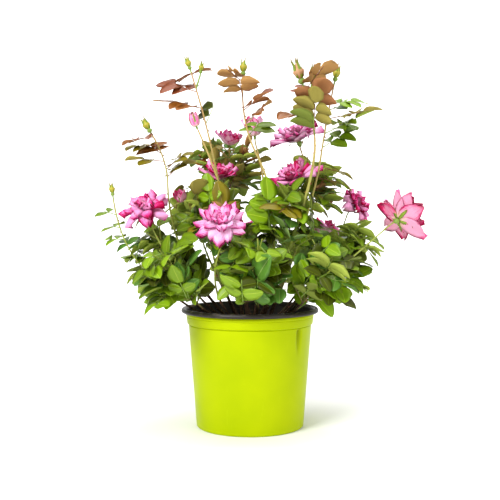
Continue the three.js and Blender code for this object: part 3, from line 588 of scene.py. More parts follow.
tall = dict(twigs=0, leaves=6, leafLength=88, leaflet=34, buds=[10], thick=2.7)
upper = dict(twigs=4, twigLength=62, leaves=8, leafLength=80, leaflet=40, buds=[], thick=2.7)
lower = dict(twigs=3, twigLength=62, leaves=5, leafLength=82, leaflet=43, buds=[], thick=2.6)


def spray(tier, name, seed, foot, elbow, fork, tip, centre, spread, **own):
    return dict(tier, name=name, seed=seed, foot=foot, elbow=elbow, fork=fork, tip=tip, centre=centre,
                spread=spread, **own)


sprays = [
    spray(tall, "left_tall", 137, (-12, -12), (-42, -30, 400), (-76, -46, 560), (-115, -50, 706),
          (-126, -52, 668), (106, 78, 88), leaves=5, leafLength=100, buds=[8, 7], thick=2.8),
    spray(tall, "centre_tall", 154, (22, -12), (76, -75, 425), (13, -70, 545), (-14, -56, 692),
          (0, -60, 655), (84, 75, 80), leaflet=33, thick=3),
    spray(tall, "right_tall", 466, (13, -26), (126, -115, 470), (124, -94, 570), (104, -90, 669),
          (116, -90, 652), (88, 80, 88), leaflet=37, buds=[14, 11], thick=3.3),
    spray(tall, "right_high", 241, (34, 4), (125, -20, 430), (140, -42, 545), (163, -62, 680),
          (190, -34, 608), (94, 78, 92), twigs=1, twigLength=60, leaves=5, leafLength=100),
    spray(tall, "left_outer", 358, (-30, -8), (-160, -35, 330), (-163, -35, 492), (-193, -30, 585),
          (-187, -34, 540), (78, 70, 80), leafLength=86, leaflet=31, thick=2.5),
    spray(tall, "far_left", 296, (-50, -18), (-150, -55, 255), (-214, -54, 328), (-270, -40, 460),
          (-256, -50, 396), (60, 70, 85), leafLength=72, leaflet=28, buds=[8], thick=2.2),
    spray(tall, "back_tall", 212, (-4, 30), (-24, 86, 380), (-38, 86, 470), (-43, 74, 560), (-40, 106, 530),
          (110, 90, 85), twigs=2, twigLength=56, leafLength=82, leaflet=38, buds=[]),
    spray(upper, "upper_left", 134, (-20, 12), (-62, 0, 292), (-76, -14, 354), (-72, 4, 478),
          (-76, -22, 428), (102, 88, 104)),
    spray(upper, "upper_right", 139, (31, -20), (64, -54, 290), (72, -60, 352), (84, -36, 470),
          (60, -60, 420), (104, 80, 104)),
    spray(upper, "upper_back_right", 84, (22, 24), (96, 40, 380), (112, 34, 440), (104, 30, 560),
          (134, 24, 462), (100, 90, 96), twigLength=66, leaves=7, thick=2.8),
    spray(upper, "upper_back_left", 246, (-18, 28), (-90, 90, 330), (-100, 96, 370), (-118, 122, 425),
          (-84, 96, 440), (110, 85, 88), leaves=6),
    spray(lower, "front", 105, (8, -38), (14, -78, 235), (16, -108, 262), (14, -152, 385), (4, -146, 322),
          (90, 76, 94), twigLength=60),
    spray(lower, "front_right", 194, (46, -36), (78, -84, 232), (98, -100, 256), (156, -122, 345),
          (148, -116, 302), (92, 80, 100)),
    spray(lower, "right", 277, (44, -4), (110, 6, 240), (136, 6, 275), (204, -6, 395), (194, 0, 340),
          (88, 88, 104)),
    spray(lower, "back_right", 189, (44, 34), (88, 82, 240), (108, 104, 275), (150, 150, 370),
          (130, 142, 325), (95, 85, 90)),
    spray(lower, "back", 58, (4, 44), (-8, 104, 240), (-12, 130, 275), (-22, 180, 380), (-10, 160, 345),
          (95, 80, 98)),
    spray(lower, "left", 68, (-48, 10), (-112, 20, 240), (-138, 20, 272), (-182, -2, 400), (-188, 20, 340),
          (94, 88, 98), twigLength=66),
    spray(lower, "front_left", 259, (-26, -32), (-76, -80, 232), (-98, -98, 256), (-154, -116, 345),
          (-140, -112, 304), (104, 82, 96)),
]
flowerCanes = [dict(zip(("name", "foot", "elbow", "fork", "thick"), row)) for row in [
    ("bloom_left", (-34, -26), (-132, -88, 284), (-190, -68, 402), 2.1),
    ("bloom_front", (-14, -40), (-98, -150, 282), (-46, -160, 388), 2.1),
    ("bloom_far_right", (46, -20), (140, -84, 296), (274, -42, 406), 2.1),
    ("bloom_right", (46, 16), (160, 66, 300), (202, 68, 424), 2.1),
    ("bloom_middle", (6, 14), (52, 28, 440), (13, 22, 566), 2.4),
    ("bloom_left_bud", (0, -28), (-24, -52, 420), (-98, -60, 586), 2.4),
]]
blooms = [dict(zip(("name", "on", "at", "facing", "radius", "open"), row)) for row in [
    ("left", "bloom_left", (-208, -64, 446), (-0.25, -0.5, 0.83), 49, 1),
    ("front", "bloom_front", (-52, -172, 421), (-0.05, -0.72, 0.69), 47, 0.95),
    ("far_right", "bloom_far_right", (306, -26, 426), (0.66, 0.62, 0.42), 47, 0.75),
    ("right", "bloom_right", (228, 62, 450), (0.86, -0.3, 0.42), 41, 1),
    ("middle", "bloom_middle", (9, 18, 604), (-0.05, -0.05, 1), 27, 0.3),
    ("left_bud", "bloom_left_bud", (-108, -62, 612), (-0.3, -0.05, 0.95), 17, 0.04),
    ("upper_right", "upper_back_right", (94, 22, 594), (-0.3, -0.2, 0.93), 48, 0.85),
    ("upper_left", "upper_left", (-60, 6, 516), (0.15, -0.35, 0.92), 33, 0.7),
    ("inner_right", "upper_right", (84, -30, 511), (-0.5, -0.3, 0.8), 44, 0.85),
    ("red_bud", "left", (-138, -20, 464), (-0.25, -0.4, 0.88), 19, 0.35),
    ("back_left", "upper_back_left", (-130, 160, 442), (-0.35, 0.55, 0.75), 38, 0.9),
    ("back", "back", (-30, 212, 392), (0.05, 0.72, 0.7), 42, 0.95),
    ("back_right", "back_right", (174, 172, 392), (0.5, 0.45, 0.74), 40, 0.9),
    ("high_back", "back_tall", (-42, 66, 586), (0.2, -0.3, 0.92), 26, 0.5),
]]

# The rule by which the solids' masses grow, and the finer values for what grows here alone.
rule = dict(stalkRadius=0.75, twigLeaves=2, sideTwig=26, nearLimb=7.5, nearLeaf=4.5, nearCell=0.8, tries=7,
            fewest=2, pairSplay=1.2, pairsAt={1: [0.33], 2: [0.24, 0.47]}, endAt={1: 0.53, 2: 0.64},
            twoPairsOver=84, lengths=(0.85, 1.12), droop=(0.05, 0.3), leafletLengths=(0.9, 1.2),
            leafletWidths=(0.68, 0.84), firstLeaf=0.12, lastLeaf=0.97, twigSpan=(0.06, 0.86),
            twigLengths=(0.8, 1.25), shorten=0.8, shortestTwig=20, limbStep=4, checkStep=6)
fine = dict(nearLimb=4.0, nearLeaf=2.6, nearCell=0.5, twigs=9, highTwigs=18, leaves=3, twigLength=54,
            leafShare=0.8, stemLeaves=9, caneLeaves=5, stalkRadius=1.15, rimClear=20, rimSide=12)
bronzeSprays = ["left_tall", "centre_tall", "right_tall", "left_outer"]


def caneOf(row):  # a curve from the mix to the fork, with radius from 1.25 to 0.62 of thick
    curve = Bend((row["foot"][0], row["foot"][1], mix["top"] + joint), row["elbow"], row["fork"])
    low, high = row["thick"] * 1.25, row["thick"] * 0.62
    return dict(curve=curve, radius=high, end=np.array(row["fork"], float), direction=curve.along(1.0),
                radiusAt=lambda t: between(low, high, t) * (1 + 0.35 * np.exp(-t * 22)))


def stemOf(row):  # carries a mass on from its cane's fork to its tip
    cane = caneOf(row)
    start, end = cane["end"] + cane["direction"] * joint, np.array(row["tip"], float)
    middle = start + cane["direction"] * np.linalg.norm(start - end) * 0.45
    return dict(curve=Bend(start, middle, end), radius=1.5, end=end, direction=unit(end - middle),
                radiusAt=lambda t: between(cane["radius"], 1.5, t))


holders = {row["name"]: stemOf(row) for row in sprays}
holders.update({row["name"]: caneOf(row) for row in flowerCanes})


def stalkOf(bloom):  # from its holder's end to the heart of the bloom
    holder = holders[bloom["on"]]
    axis = unit(np.array(bloom["facing"], float))
    heart = np.array(bloom["at"], float) - axis * bloom["radius"] * between(0.75, 0.3, bloom["open"])
    start = holder["end"] + holder["direction"] * joint
    middle = start + holder["direction"] * np.linalg.norm(start - heart) * 0.5
    return dict(curve=Bend(start, middle, heart), radius=holder["radius"], axis=axis, heart=heart)


def centreLine(name, curve):  # points every few millimetres along a limb
    count = math.ceil(curve.length() / rule["limbStep"])
    return name, curve.at(np.arange(count + 1) / count)


limbs = [centreLine("cane_" + row["name"], caneOf(row)["curve"]) for row in sprays + flowerCanes]
limbs += [centreLine(row["name"], holders[row["name"]]["curve"]) for row in sprays]
limbs += [centreLine("rose_" + bloom["name"], stalkOf(bloom)["curve"]) for bloom in blooms]
bloomPlaces = [(stalkOf(bloom), bloom) for bloom in blooms]


# The room that a mass may fill. Its clearances are the solids' own, or the finer ones.
class Room:
    def __init__(self, row):
        self.row = row
        self.centre, self.spread = np.array(row["centre"], float), np.array(row["spread"], float)
        others = np.array([other["centre"] for other in sprays if other is not row], float)
        self.middles, self.apart = (others + self.centre) / 2, unit(self.centre - others)
        reach = max(row["spread"]) + 2 * rule["nearLimb"]
        near = np.concatenate([points for name, points in limbs if name != row["name"]])
        self.near = near[np.linalg.norm(near - self.centre, axis=1) < reach]
        self.taken = np.zeros((0, 3))
        self.limits = rule

    def clearOfPot(self, p):
        radius, margin, z = np.hypot(p[:, 0], p[:, 1]), 3, p[:, 2]
        rim = z > pot["height"] - pot["rimDepth"] - margin
        outside = radius > np.where(rim, pot["rimRadius"], potRadius(z) + 2) + margin
        inside = radius < potRadius(mix["top"]) - pot["wall"] - margin
        inside &= z > mix["top"] + mix["rise"] + margin
        return (z > pot["height"] + margin) | outside | inside

    def clearOfBlooms(self, p):
        clear = np.ones(len(p), bool)
        for stalk, bloom in bloomPlaces:
            away = p - stalk["heart"]
            rise = away @ stalk["axis"]
            across = np.sqrt(np.maximum(0, (away**2).sum(1) - rise**2))
            tall = bloom["radius"] * between(1.8, 0.95, bloom["open"]) + 3
            wide = bloom["radius"] * between(0.95, 1.1, bloom["open"]) + 3
            behind = rise < -bloom["radius"] * 0.32 * bloom["open"] - 7
            clear &= behind | (rise > tall) | (across > wide)
        return clear

    def free(self, points):  # true if every point may hold a leaf or twig
        if (np.linalg.norm((points - self.centre) / self.spread, axis=1) > 1).any():
            return False
        cell = ((points[:, None] - self.middles) * self.apart).sum(2)
        if (cell <= self.limits["nearCell"]).any():
            return False
        if not self.clearOfPot(points).all() or not self.clearOfBlooms(points).all():
            return False
        for spots, least in ((self.near, self.limits["nearLimb"]), (self.taken, self.limits["nearLeaf"])):
            if len(spots) and (((points[:, None] - spots) ** 2).sum(2) <= least**2).any():
                return False
        return True

    def lineFree(self, start, end):
        count = max(2, math.ceil(np.linalg.norm(end - start) / rule["checkStep"]))
        share = ((np.arange(count) + 1) / count)[:, None]
        return self.free(start + (end - start) * share)


spotAlong = np.repeat([0.15, 0.38, 0.6, 0.82, 1.02], 4)
spotAcross = np.repeat([0.2, 0.5, 0.42, 0.22, 0], 4) * np.tile([-1, -0.35, 0.35, 1], 5)


def lightFor(point, direction):  # up, and outwards the further down and out a leaf grows
    outward = unit(np.array([point[0], point[1], 0.0]))
    low = min(max((420 - point[2]) / 200, 0), 1)
    light = up * between(0.95, 0.62, low) + outward * between(0.35, 0.8, low)
    return unit(light - direction * (light @ direction))


# One try at a compound leaf: pairs of leaflets along a stalk and one at its end, without those
# that would meet something.
def layLeaf(room, start, direction, seed, share=1.0):
    row = room.row
    total = row["leafLength"] * share * between(*rule["lengths"], chance(seed, 1, row["leafLength"]))
    pairCount = 2 if total > rule["twoPairsOver"] else 1
    length = total * rule["endAt"][pairCount]
    lean = unit(direction - up * between(*rule["droop"], chance(seed, 2, 5)))
    if not room.lineFree(start + lean * 5, start + lean * length):
        return None
    normal = lightFor(start, lean)
    side = unit(np.cross(lean, normal))
    leaflets, filled = [], []

    def leaflet(at, splay, size, key):
        angle = splay * rule["pairSplay"] + 0.16 * (chance(seed, key, 9) - 0.5)
        aim = lean * math.cos(angle) + side * math.sin(angle)
        aim = unit(aim - up * 0.16 * chance(seed, key, 11))
        face = normal + side * 0.4 * (chance(seed, key, 13) - 0.5)
        face = unit(face - aim * (face @ aim))
        root = start + lean * at + side * splay * rule["stalkRadius"]
        long = row["leaflet"] * share * size * between(*rule["leafletLengths"], chance(seed, key, 15))
        wide = long * between(*rule["leafletWidths"], chance(seed, key, 17))
        edge = unit(np.cross(aim, face))
        spots = root + aim * (spotAlong * long)[:, None] + edge * (spotAcross * wide)[:, None]
        if room.free(spots):
            filled.append(spots)
            leaflets.append(dict(root=root, aim=aim, face=face, long=long, wide=wide, key=seed + key * 0.37))

    for i, place in enumerate(rule["pairsAt"][pairCount]):
        leaflet(place * total, -1, 0.94, 2 * i)
        leaflet(place * total, 1, 0.94, 2 * i + 1)
    leaflet(length, 0, 1.12, 8)
    return dict(leaflets=leaflets, filled=filled, start=start, end=start + lean * length, seed=seed,
                most=2 * pairCount + 1)


# Leaves stand alternately round a limb, each turned by the golden angle from the last, and each
# is tried at a few turns.
def growLeaves(room, curve, count, first, seed, share=1.0):
    grown = []
    for i in range(count):
        t = between(first, rule["lastLeaf"], i / (count - 1) if count > 1 else 1)
        axis = curve.along(t)
        u, v = square(axis)
        best, fewest = None, rule["fewest"] - 1
        for k in range(rule["tries"]):
            if best and len(best["leaflets"]) == best["most"]:
                break
            turn = goldenAngle * (i + 1) + 2 * math.pi * k / rule["tries"] + chance(seed, i, 21)
            out = u * math.cos(turn) + v * math.sin(turn)
            splay = between(0.85, 1.25, chance(seed, i, 23 + k))
            direction = unit(axis * math.cos(splay) + out * math.sin(splay))
            leaf = layLeaf(room, curve.at(t), direction, seed * 31 + i * 7 + k, share)
            if leaf and len(leaf["leaflets"]) > (len(best["leaflets"]) if best else fewest):
                best = leaf
        if best:
            room.taken = np.concatenate([room.taken] + best["filled"])
            grown.append(best)
    return grown


# Twigs leave the stem at golden-angle steps, and are shortened until they are free.
def growTwigs(room, curve, count, first, last, twigLength, leaves, seed, share=1.0):
    twigs, grown = [], []
    for i in range(count):
        t = between(first, last, i / (count - 1)) if count > 1 else 0.4
        axis = curve.along(t)
        u, v = square(axis)
        turn = goldenAngle * i + 6.28 * chance(seed, i, 31)
        out = u * math.cos(turn) + v * math.sin(turn)
        aim = unit(axis * 0.45 + out * 0.85 + up * 0.2)
        start = curve.at(t)
        long = twigLength * between(*rule["twigLengths"], chance(seed, i, 33))
        while long > rule["shortestTwig"] and not room.lineFree(start + aim * 6, start + aim * long):
            long *= rule["shorten"]
        if long <= rule["shortestTwig"]:
            continue
        line = straight(start, start + aim * long)
        leafy = growLeaves(room, line, leaves, 0.5, seed + 13 * (i + 1), share)
        if leafy:
            twigs.append(line)
            grown += leafy
    return twigs, grown


def overRim(leaf):  # true for a leaf that would hang before the pot's rim and hide it
    tips = np.array([leaflet["root"] + leaflet["aim"] * leaflet["long"] for leaflet in leaf["leaflets"]])
    low = tips[:, 2] < pot["height"] + fine["rimClear"]
    return (low & (np.abs(tips[:, 0]) < pot["rimRadius"] + fine["rimSide"]) & (tips[:, 1] < 0)).any()


# A mass: the solids' own leaves and twigs first, then finer ones in the room that is left, but none
# of those on the tall, open sprays.
def growMass(row):
    curve, seed = holders[row["name"]]["curve"], row["seed"]
    room = Room(row)
    leaves = growLeaves(room, curve, row["leaves"], rule["firstLeaf"], seed)
    twigs, more = growTwigs(room, curve, row["twigs"], *rule["twigSpan"], row.get("twigLength"),
                            rule["twigLeaves"], seed)
    leaves += more
    if row["name"] not in bronzeSprays + ["right_high", "far_left"]:
        room.limits, share = dict(rule, **fine), fine["leafShare"]
        for line in twigs[:]:
            leaves += growLeaves(room, line, fine["leaves"], 0.25, seed + 401, share)
        twigCount = fine["highTwigs"] if row["centre"][2] > 400 else fine["twigs"]
        newTwigs, more = growTwigs(room, curve, twigCount, 0.02, 0.94, fine["twigLength"], fine["leaves"],
                                   seed + 577, share)
        twigs += newTwigs
        leaves += more
        leaves += growLeaves(room, curve, fine["stemLeaves"], 0.04, seed + 733, share)
        leaves += growLeaves(room, caneOf(row)["curve"], fine["caneLeaves"], 0.4, seed + 911, share)
    return twigs, [leaf for leaf in leaves if not overRim(leaf)]


# Leaves. Tones are plain colours: the upper side, its rib and the paler under side.

tones = dict(
    deep=("424b06", "68781a", "727f34"), mid=("6a880a", "8ca02a", "90a23e"),
    bright=("7ea20c", "a8c430", "a6b64c"), cool=("54802a", "88a656", "86a458"),
    lime=("7e9e18", "acc43c", "a4b850"), olive=("827612", "a09040", "9c9046"),
    bronze=("8e541a", "b07c3c", "b48850"), rust=("7c3e1e", "a4603a", "aa744a"))
toneNames = list(tones)
leafShine = dict(Blade=(0.4, 0.3), Rib=(0.4, 0.3), Under=(0.7, 0.12))  # roughness and specular level
leafPaints = [Paint(name + part, code, *leafShine[part])
              for name, codes in tones.items() for part, code in zip(leafShine, codes)]

leafShape = dict(stations=[0.07, 0.22, 0.4, 0.6, 0.8, 0.94], across=[-1, -0.5, -0.04, 0.04, 0.5, 1],
                 under=[-0.5, 0, 0.5], fold=0.16, droop=0.07, teeth=0.04, quilt=0.012, thickness=0.5,
                 youngCurl=0.9, youngSize=1.22)
leafGrid = bladeGrid(*(np.array(leafShape[key]) for key in ("stations", "across", "under")))


# A leaflet: half width w a^0.55 (1 - a)^0.68 with teeth, folded up along its rib, drooping by
# the square of a, and quilted between its side veins.
def leafletPoints(leaflets, curl, size):
    a, s, skin = leafGrid["a"], leafGrid["s"], leafGrid["skin"]
    root, aim, face = (np.array([leaf[key] for leaf in leaflets]) for key in ("root", "aim", "face"))
    long, wide, key = (np.array([leaf[key] for leaf in leaflets])[:, None] for key in ("long", "wide", "key"))
    long, wide = long * size, wide * size
    side = unit(np.cross(aim, face))
    rows = len(leafShape["stations"])
    step = np.round(np.interp(a, [0] + leafShape["stations"] + [1], np.arange(rows + 2)))
    odd = np.where(step % 2 == 0, 1.0, -1.0)
    profile = a**0.55 * (1 - a) ** 0.68
    profile = profile / profile.max()
    edge = np.abs(s) > 0.99
    half = wide / 2 * profile * (1 + leafShape["teeth"] * odd * edge)
    wave = s * np.abs(s) * 0.03 * np.sin(key * 5.1 + a * 7) + s**2 * 0.03 * np.sin(key * 3.3 + a * 5.5)
    fold = curl * leafShape["fold"] * between(0.6, 1.5, (np.sin(key * 9.7) + 1) / 2)
    droop = curl * leafShape["droop"] * between(0.3, 2.6, (np.sin(key * 6.1) + 1) / 2)
    lift = wide * (fold * np.abs(s) ** 1.2 * profile + wave * profile) - long * droop * a**2
    lift = lift + long * leafShape["quilt"] * odd * np.abs(s) * (1 - edge) + skin * leafShape["thickness"] / 2
    return (root[:, None] + aim[:, None] * (a * long)[..., None] + side[:, None] * (s * half)[..., None]
            + face[:, None] * lift[..., None])


# Which tone a compound leaf has: shares of each tone by where it grows, dealt by chance.
def toneOf(row, leaf):
    pick, height = chance(leaf["seed"], 3, 41), leaf["start"][2]
    if row["name"] in bronzeSprays:
        shares = dict(bronze=0.3, olive=0.4, mid=0.15, deep=0.15)
        if height > row["centre"][2] - 40:
            shares = dict(bronze=0.5, rust=0.26, olive=0.24)
    elif row["name"] in ("far_left", "back_tall", "right_high"):
        shares = dict(olive=0.3, bronze=0.12, mid=0.26, cool=0.15, bright=0.17)
    elif height > 400:
        shares = dict(deep=0.05, mid=0.27, bright=0.29, olive=0.2, bronze=0.05, cool=0.07, lime=0.07)
    else:
        shares = dict(deep=0.28, mid=0.31, bright=0.22, cool=0.14, lime=0.05)
    for name, share in shares.items():
        pick -= share
        if pick <= 0:
            return toneNames.index(name)
    return toneNames.index("mid")


# Bark: brown at the foot, green above, tan and reddish towards the light, with pale flecks.
canePaint = Paint("caneBark", "8f8a4a", shine=0.35)
where = canePaint.place()
height = canePaint.parts(where)[2]
broad = canePaint.noise(where, 28.0, 2.0)
streaks = canePaint.noise(canePaint.stretch(where, (500, 500, 60)), 1.0, 4.0)
flecks = canePaint.ramp(canePaint.noise(canePaint.stretch(where, (900, 900, 350)), 1.0, 2.0), 0.62, 0.72)
level = height + (broad - 0.5) * 0.16
young = canePaint.blend(canePaint.ramp(level, 0.40, 0.56), colour("93a23c"), colour("b8a05c"))
young = canePaint.blend(canePaint.ramp(level, 0.56, 0.68) * 0.7, young, colour("b07f5a"))
young = canePaint.blend(canePaint.ramp(streaks, 0.5, 0.8) * 0.4, young, colour("a8884e"))
old = canePaint.blend(canePaint.ramp(streaks, 0.3, 0.7), colour("2c1c12"), colour("5d4430"))
skinTone = canePaint.blend(canePaint.ramp(level, 0.262, 0.33), old, young)
canePaint.feed("Base Color", canePaint.blend(flecks * 0.35, skinTone, colour("cdbb8e")))
canePaint.feed("Roughness", canePaint.ramp(level, 0.24, 0.34, (0.85, 0.5)))
canePaint.feed("Normal", canePaint.bump(streaks, 0.0006))
thornPaint = Paint("thorn", "8c4a34", 0.5)
greenStalk = Paint("greenStalk", "7d9a3c", 0.55)
redStalk = Paint("redStalk", "8e5a3c", 0.55)


barkShape = dict(cane=(10, 4.0, 0.16), stem=(8, 4.0, 0.1), twig=(6, 5.0, 0.1),  # sides, step, relief
                 nodeStep=34, nodeHalf=2.6, nodeSwell=0.09)
thornShape = dict(caneStep=26, stemStep=24, short=2.4, long=4.4, droop=0.45)


# A limb with bark relief on its radius: nodes swell at steps as exp(-(distance / half)^2), and lumps
# stretched along it make ridges. Overlap starts it that share of its length further back.
def addBark(batch, curve, radiusAt, kind, seed, overlap=0.0):
    sides, step, relief = barkShape[kind]
    long, apart = curve.length(), barkShape["nodeStep"]
    rings = max(8, math.ceil(long / step))
    t = np.linspace(0, 1, rings)
    turn = turns(sides)
    off = ((t * long / apart + seed % 1) % 1 - 0.5) * apart / barkShape["nodeHalf"]
    nodes = barkShape["nodeSwell"] * np.exp(-off ** 2)
    ridge = relief * (lumps(np.tile(turn, (rings, 1)) * 1.9 + 7, (t * long / 16)[:, None] + seed, seed) - 0.5)
    radii = radiusAt(t)[:, None] * (1 + nodes[:, None] + ridge)
    addTube(batch, curve.at(t * (1 + overlap) - overlap), radii, sides, 0)


# Thorns: four-sided cones bent down, rooted in the bark at golden-angle steps round the limb.
def addThorns(batch, curve, radiusAt, count, first, seed, slot):
    t = first + (1 - first) * (np.arange(count) + 0.5 * chances(count, seed)) / count
    middle, axis = curve.at(t), curve.along(t)
    turn = np.arange(count) * goldenAngle + seed
    u = unit(np.cross(axis, up + 0.01))
    out = u * np.cos(turn)[:, None] + np.cross(axis, u) * np.sin(turn)[:, None]
    start = middle + out * (radiusAt(t) * 0.8)[:, None]
    size = chances(count, seed + 1, thornShape["short"], thornShape["long"])[:, None]
    end = start + out * size - axis * size * thornShape["droop"]
    side = np.cross(out, axis)
    thick = radiusAt(t)[:, None] * 0.35 + 0.25
    corners = np.stack([start + axis * size * 0.5, start + side * thick, start - axis * size * 0.5,
                        start - side * thick, end], 1)
    faces = np.array([[0, 1, 4], [1, 2, 4], [2, 3, 4], [3, 0, 4], [1, 0, 2], [2, 0, 3]])
    shift = (np.arange(count) * 5)[:, None, None]
    batch.add(corners, np.zeros((0, 4)), faces + shift, slot, slot)


for number, row in enumerate(sprays + flowerCanes):
    cane, bark = caneOf(row), Batch()
    addBark(bark, cane["curve"], cane["radiusAt"], "cane", number + 0.31)
    thorns = max(4, int(cane["curve"].length() / thornShape["caneStep"]))
    addThorns(bark, cane["curve"], cane["radiusAt"], thorns, 0.14, number + 3, 1)
    bark.build("bark_" + row["name"], [canePaint, thornPaint], "cane_bark", ["cane_" + row["name"]])
print("canes made")

budShape = dict(hip=3.8, swell=5.5, sepals=5, stout=1.2)
sepalPaint = Paint("sepal", "7f9826", 0.55)
along = sepalPaint.parts(sepalPaint.node("ShaderNodeUVMap", dict(uv_map="surface")))[1]
tipped = sepalPaint.ramp(along, 0.55, 0.92)
sepalPaint.feed("Base Color", sepalPaint.blend(tipped, colour("86a028"), colour("7c4a2c")))
budPaint = Paint("closedBud", "b0a62c", 0.5)
ripePaint = Paint("ripeBud", "c49468", 0.5)
sepalGrid = bladeGrid(np.array([0.12, 0.35, 0.6, 0.82, 0.94]), np.array([-1, 0, 1]), np.array([0]))


# Sepals round an axis: a narrow blade that follows a path of radius and rise given at shares of
# its length, tapering to a thread.
def addSepals(batch, foot, axis, radii, rises, width, count, seed, slot):
    a, s, skin = sepalGrid["a"], sepalGrid["s"], sepalGrid["skin"]
    u, v = square(axis)
    share = np.linspace(0, 1, len(radii))
    turn = (np.arange(count) * 2 * np.pi / count + seed)[:, None]
    reach = (0.85 + 0.3 * chances(count, seed + 0.7))[:, None]
    radius = np.interp(a, share, radii) * np.where(a > 0.7, reach, 1)
    rise = np.interp(a, share, rises) * np.where(a > 0.5, 0.5 + 0.5 * reach, 1)
    taper = np.sin(np.pi * np.clip(a * 0.8 + 0.2, 0, 1)) ** 1.3 * 0.8 + 0.12
    half = width * taper * np.where((a < 0.01) | (a > 0.99), 0, 1)
    swing = turn + 0.35 * (chances(count, seed + 0.3) - 0.5)[:, None] * a**2
    out = u * np.cos(swing)[..., None] + v * np.sin(swing)[..., None]
    side = np.cross(axis, out)
    points = (foot + out * (radius + skin * 0.3)[..., None] + axis * rise[..., None]
              + side * (s * half)[..., None])
    slots = np.full((count, len(sepalGrid["quadKind"])), slot)
    ends = np.full((count, len(sepalGrid["triangleKind"])), slot)
    addBlades(batch, sepalGrid, points, slots, ends, np.zeros(count))


# A closed bud on a short stalk: a round hip, an egg with a point, and long thready sepals.
def addBud(batch, start, direction, size, seed):
    direction = unit(direction)
    seat = start + direction * size * 1.2
    scale = size / 8
    wide = scale * budShape["stout"]
    t = np.linspace(0, 1, 6)[:, None]
    sunk = start - direction * 2
    addTube(batch, sunk + (seat - start + direction * 2) * t, np.full(6, 1.6), 6, 0)
    hip = np.array([[-4.2, 1.1], [-3, 2.6], [-0.8, budShape["hip"]], [1.4, 3.0], [2.8, 2.1]]) * [scale, wide]
    addTube(batch, seat + direction * hip[:, :1], hip[:, 1], 8, 0)
    egg = np.array([[2.2, 1.6], [4, 3.3], [7, 4.5], [10.5, budShape["swell"]], [14, 3.5], [17, 2.1],
                    [19.4, 0.7]]) * [scale, wide]
    addTube(batch, seat + direction * egg[:, :1], egg[:, 1], 10, 1)
    radii = np.array([1.6, 3.9, 4.9, 4.6, 3.4, 3.0, 4.6, 7.5]) * wide
    rises = np.array([2.2, 4.4, 8, 12, 16, 20, 23.5, 26]) * scale
    addSepals(batch, seat, direction, radii, rises, 2.0 * scale, budShape["sepals"], seed, 2)


leafletCount = 0
for number, row in enumerate(sprays):
    twigs, leaves = growMass(row)
    flat = [leaflet for leaf in leaves for leaflet in leaf["leaflets"]]
    kinds = [toneOf(row, leaf) for leaf in leaves]
    tone = np.repeat(kinds, [len(leaf["leaflets"]) for leaf in leaves])
    leafletCount += len(flat)
    blades = Batch()
    quadSlots = 3 * tone[:, None] + leafGrid["quadKind"]
    endSlots = 3 * tone[:, None] + leafGrid["triangleKind"]
    young = row["name"] in bronzeSprays
    curl, size = (leafShape["youngCurl"], leafShape["youngSize"]) if young else (1.0, 1.0)
    addBlades(blades, leafGrid, leafletPoints(flat, curl, size), quadSlots, endSlots, np.zeros(len(flat)))
    slot = "leaf_bronze" if young else "leaf_green"
    blades.build("leaflets_" + row["name"], leafPaints, slot, ["leaves_" + row["name"]])

    stem, stalks = holders[row["name"]], Batch()
    addBark(stalks, stem["curve"], stem["radiusAt"], "stem", number + 0.77, 0.03)
    thorns = max(3, int(stem["curve"].length() / thornShape["stemStep"]))
    addThorns(stalks, stem["curve"], stem["radiusAt"], thorns, 0.05, number + 9, 3)
    for line in twigs:
        addBark(stalks, line, lambda t: between(1.6, 0.95, t), "twig", number + 0.13)
    starts = np.array([leaf["start"] for leaf in leaves])
    ends = np.array([leaf["end"] for leaf in leaves])
    red = np.array([2 if toneNames[kind] in ("bronze", "rust", "olive") else 1 for kind in kinds])
    addStalks(stalks, starts, ends, fine["stalkRadius"], red)
    finishes = [canePaint, greenStalk, redStalk, thornPaint]
    stalks.build("stalks_" + row["name"], finishes, "cane_bark", ["leaves_" + row["name"]])

    if row["buds"]:
        buds, direction = Batch(), stem["direction"]
        addBud(buds, stem["end"], direction, row["buds"][0], number)
        if len(row["buds"]) > 1:
            start = stem["curve"].at(0.8)
            aim = unit(direction - square(direction)[1] * 0.7)
            side = start + aim * rule["sideTwig"]
            twig = start + (side - start) * np.linspace(0, 1, 6)[:, None]
            addTube(buds, twig, np.linspace(2.0, 1.6, 6), 6, 0)
            addBud(buds, side, aim + up, row["buds"][1], number + 0.5)
        finishes = [greenStalk, ripePaint if row["name"] == "right_tall" else budPaint, sepalPaint]
        buds.build("buds_" + row["name"], finishes, "sepal_green", ["leaves_" + row["name"]])
print("leaves made:", leafletCount, "leaflets")

# Blooms. Petals stand in rings round the heart. Each ring gives its number of petals, the angle of
# a petal above the level at its foot and its tip when wide open, its length and its width.
rose = dict(rings=[(6, 24, -34, 1.1, 0.66), (7, 40, -8, 1.0, 0.54), (7, 54, 18, 0.86, 0.48),
                   (8, 66, 40, 0.72, 0.42), (8, 76, 62, 0.58, 0.36), (7, 84, 80, 0.46, 0.32),
                   (4, 90, 96, 0.36, 0.28)],
            budAngles=(18, 130), budFull=1.22, fewRingsUpTo=25, fewRings=slice(1, 5), leastHip=22,
            thickness=0.4, cup=0.75, ruffle=0.07, roll=0.4, point=1.05, steps=40)
petalGrid = bladeGrid(np.array([0.05, 0.16, 0.3, 0.45, 0.6, 0.74, 0.86, 0.95]),
                      np.array([-1, -0.66, -0.3, 0.0, 0.3, 0.66, 1.0]), np.array([-0.66, 0.0, 0.66]))
for key in ("quadKind", "triangleKind"):  # a petal has a face and a back, and no rib
    petalGrid[key] = np.where(petalGrid[key] == 2, 1, 0)


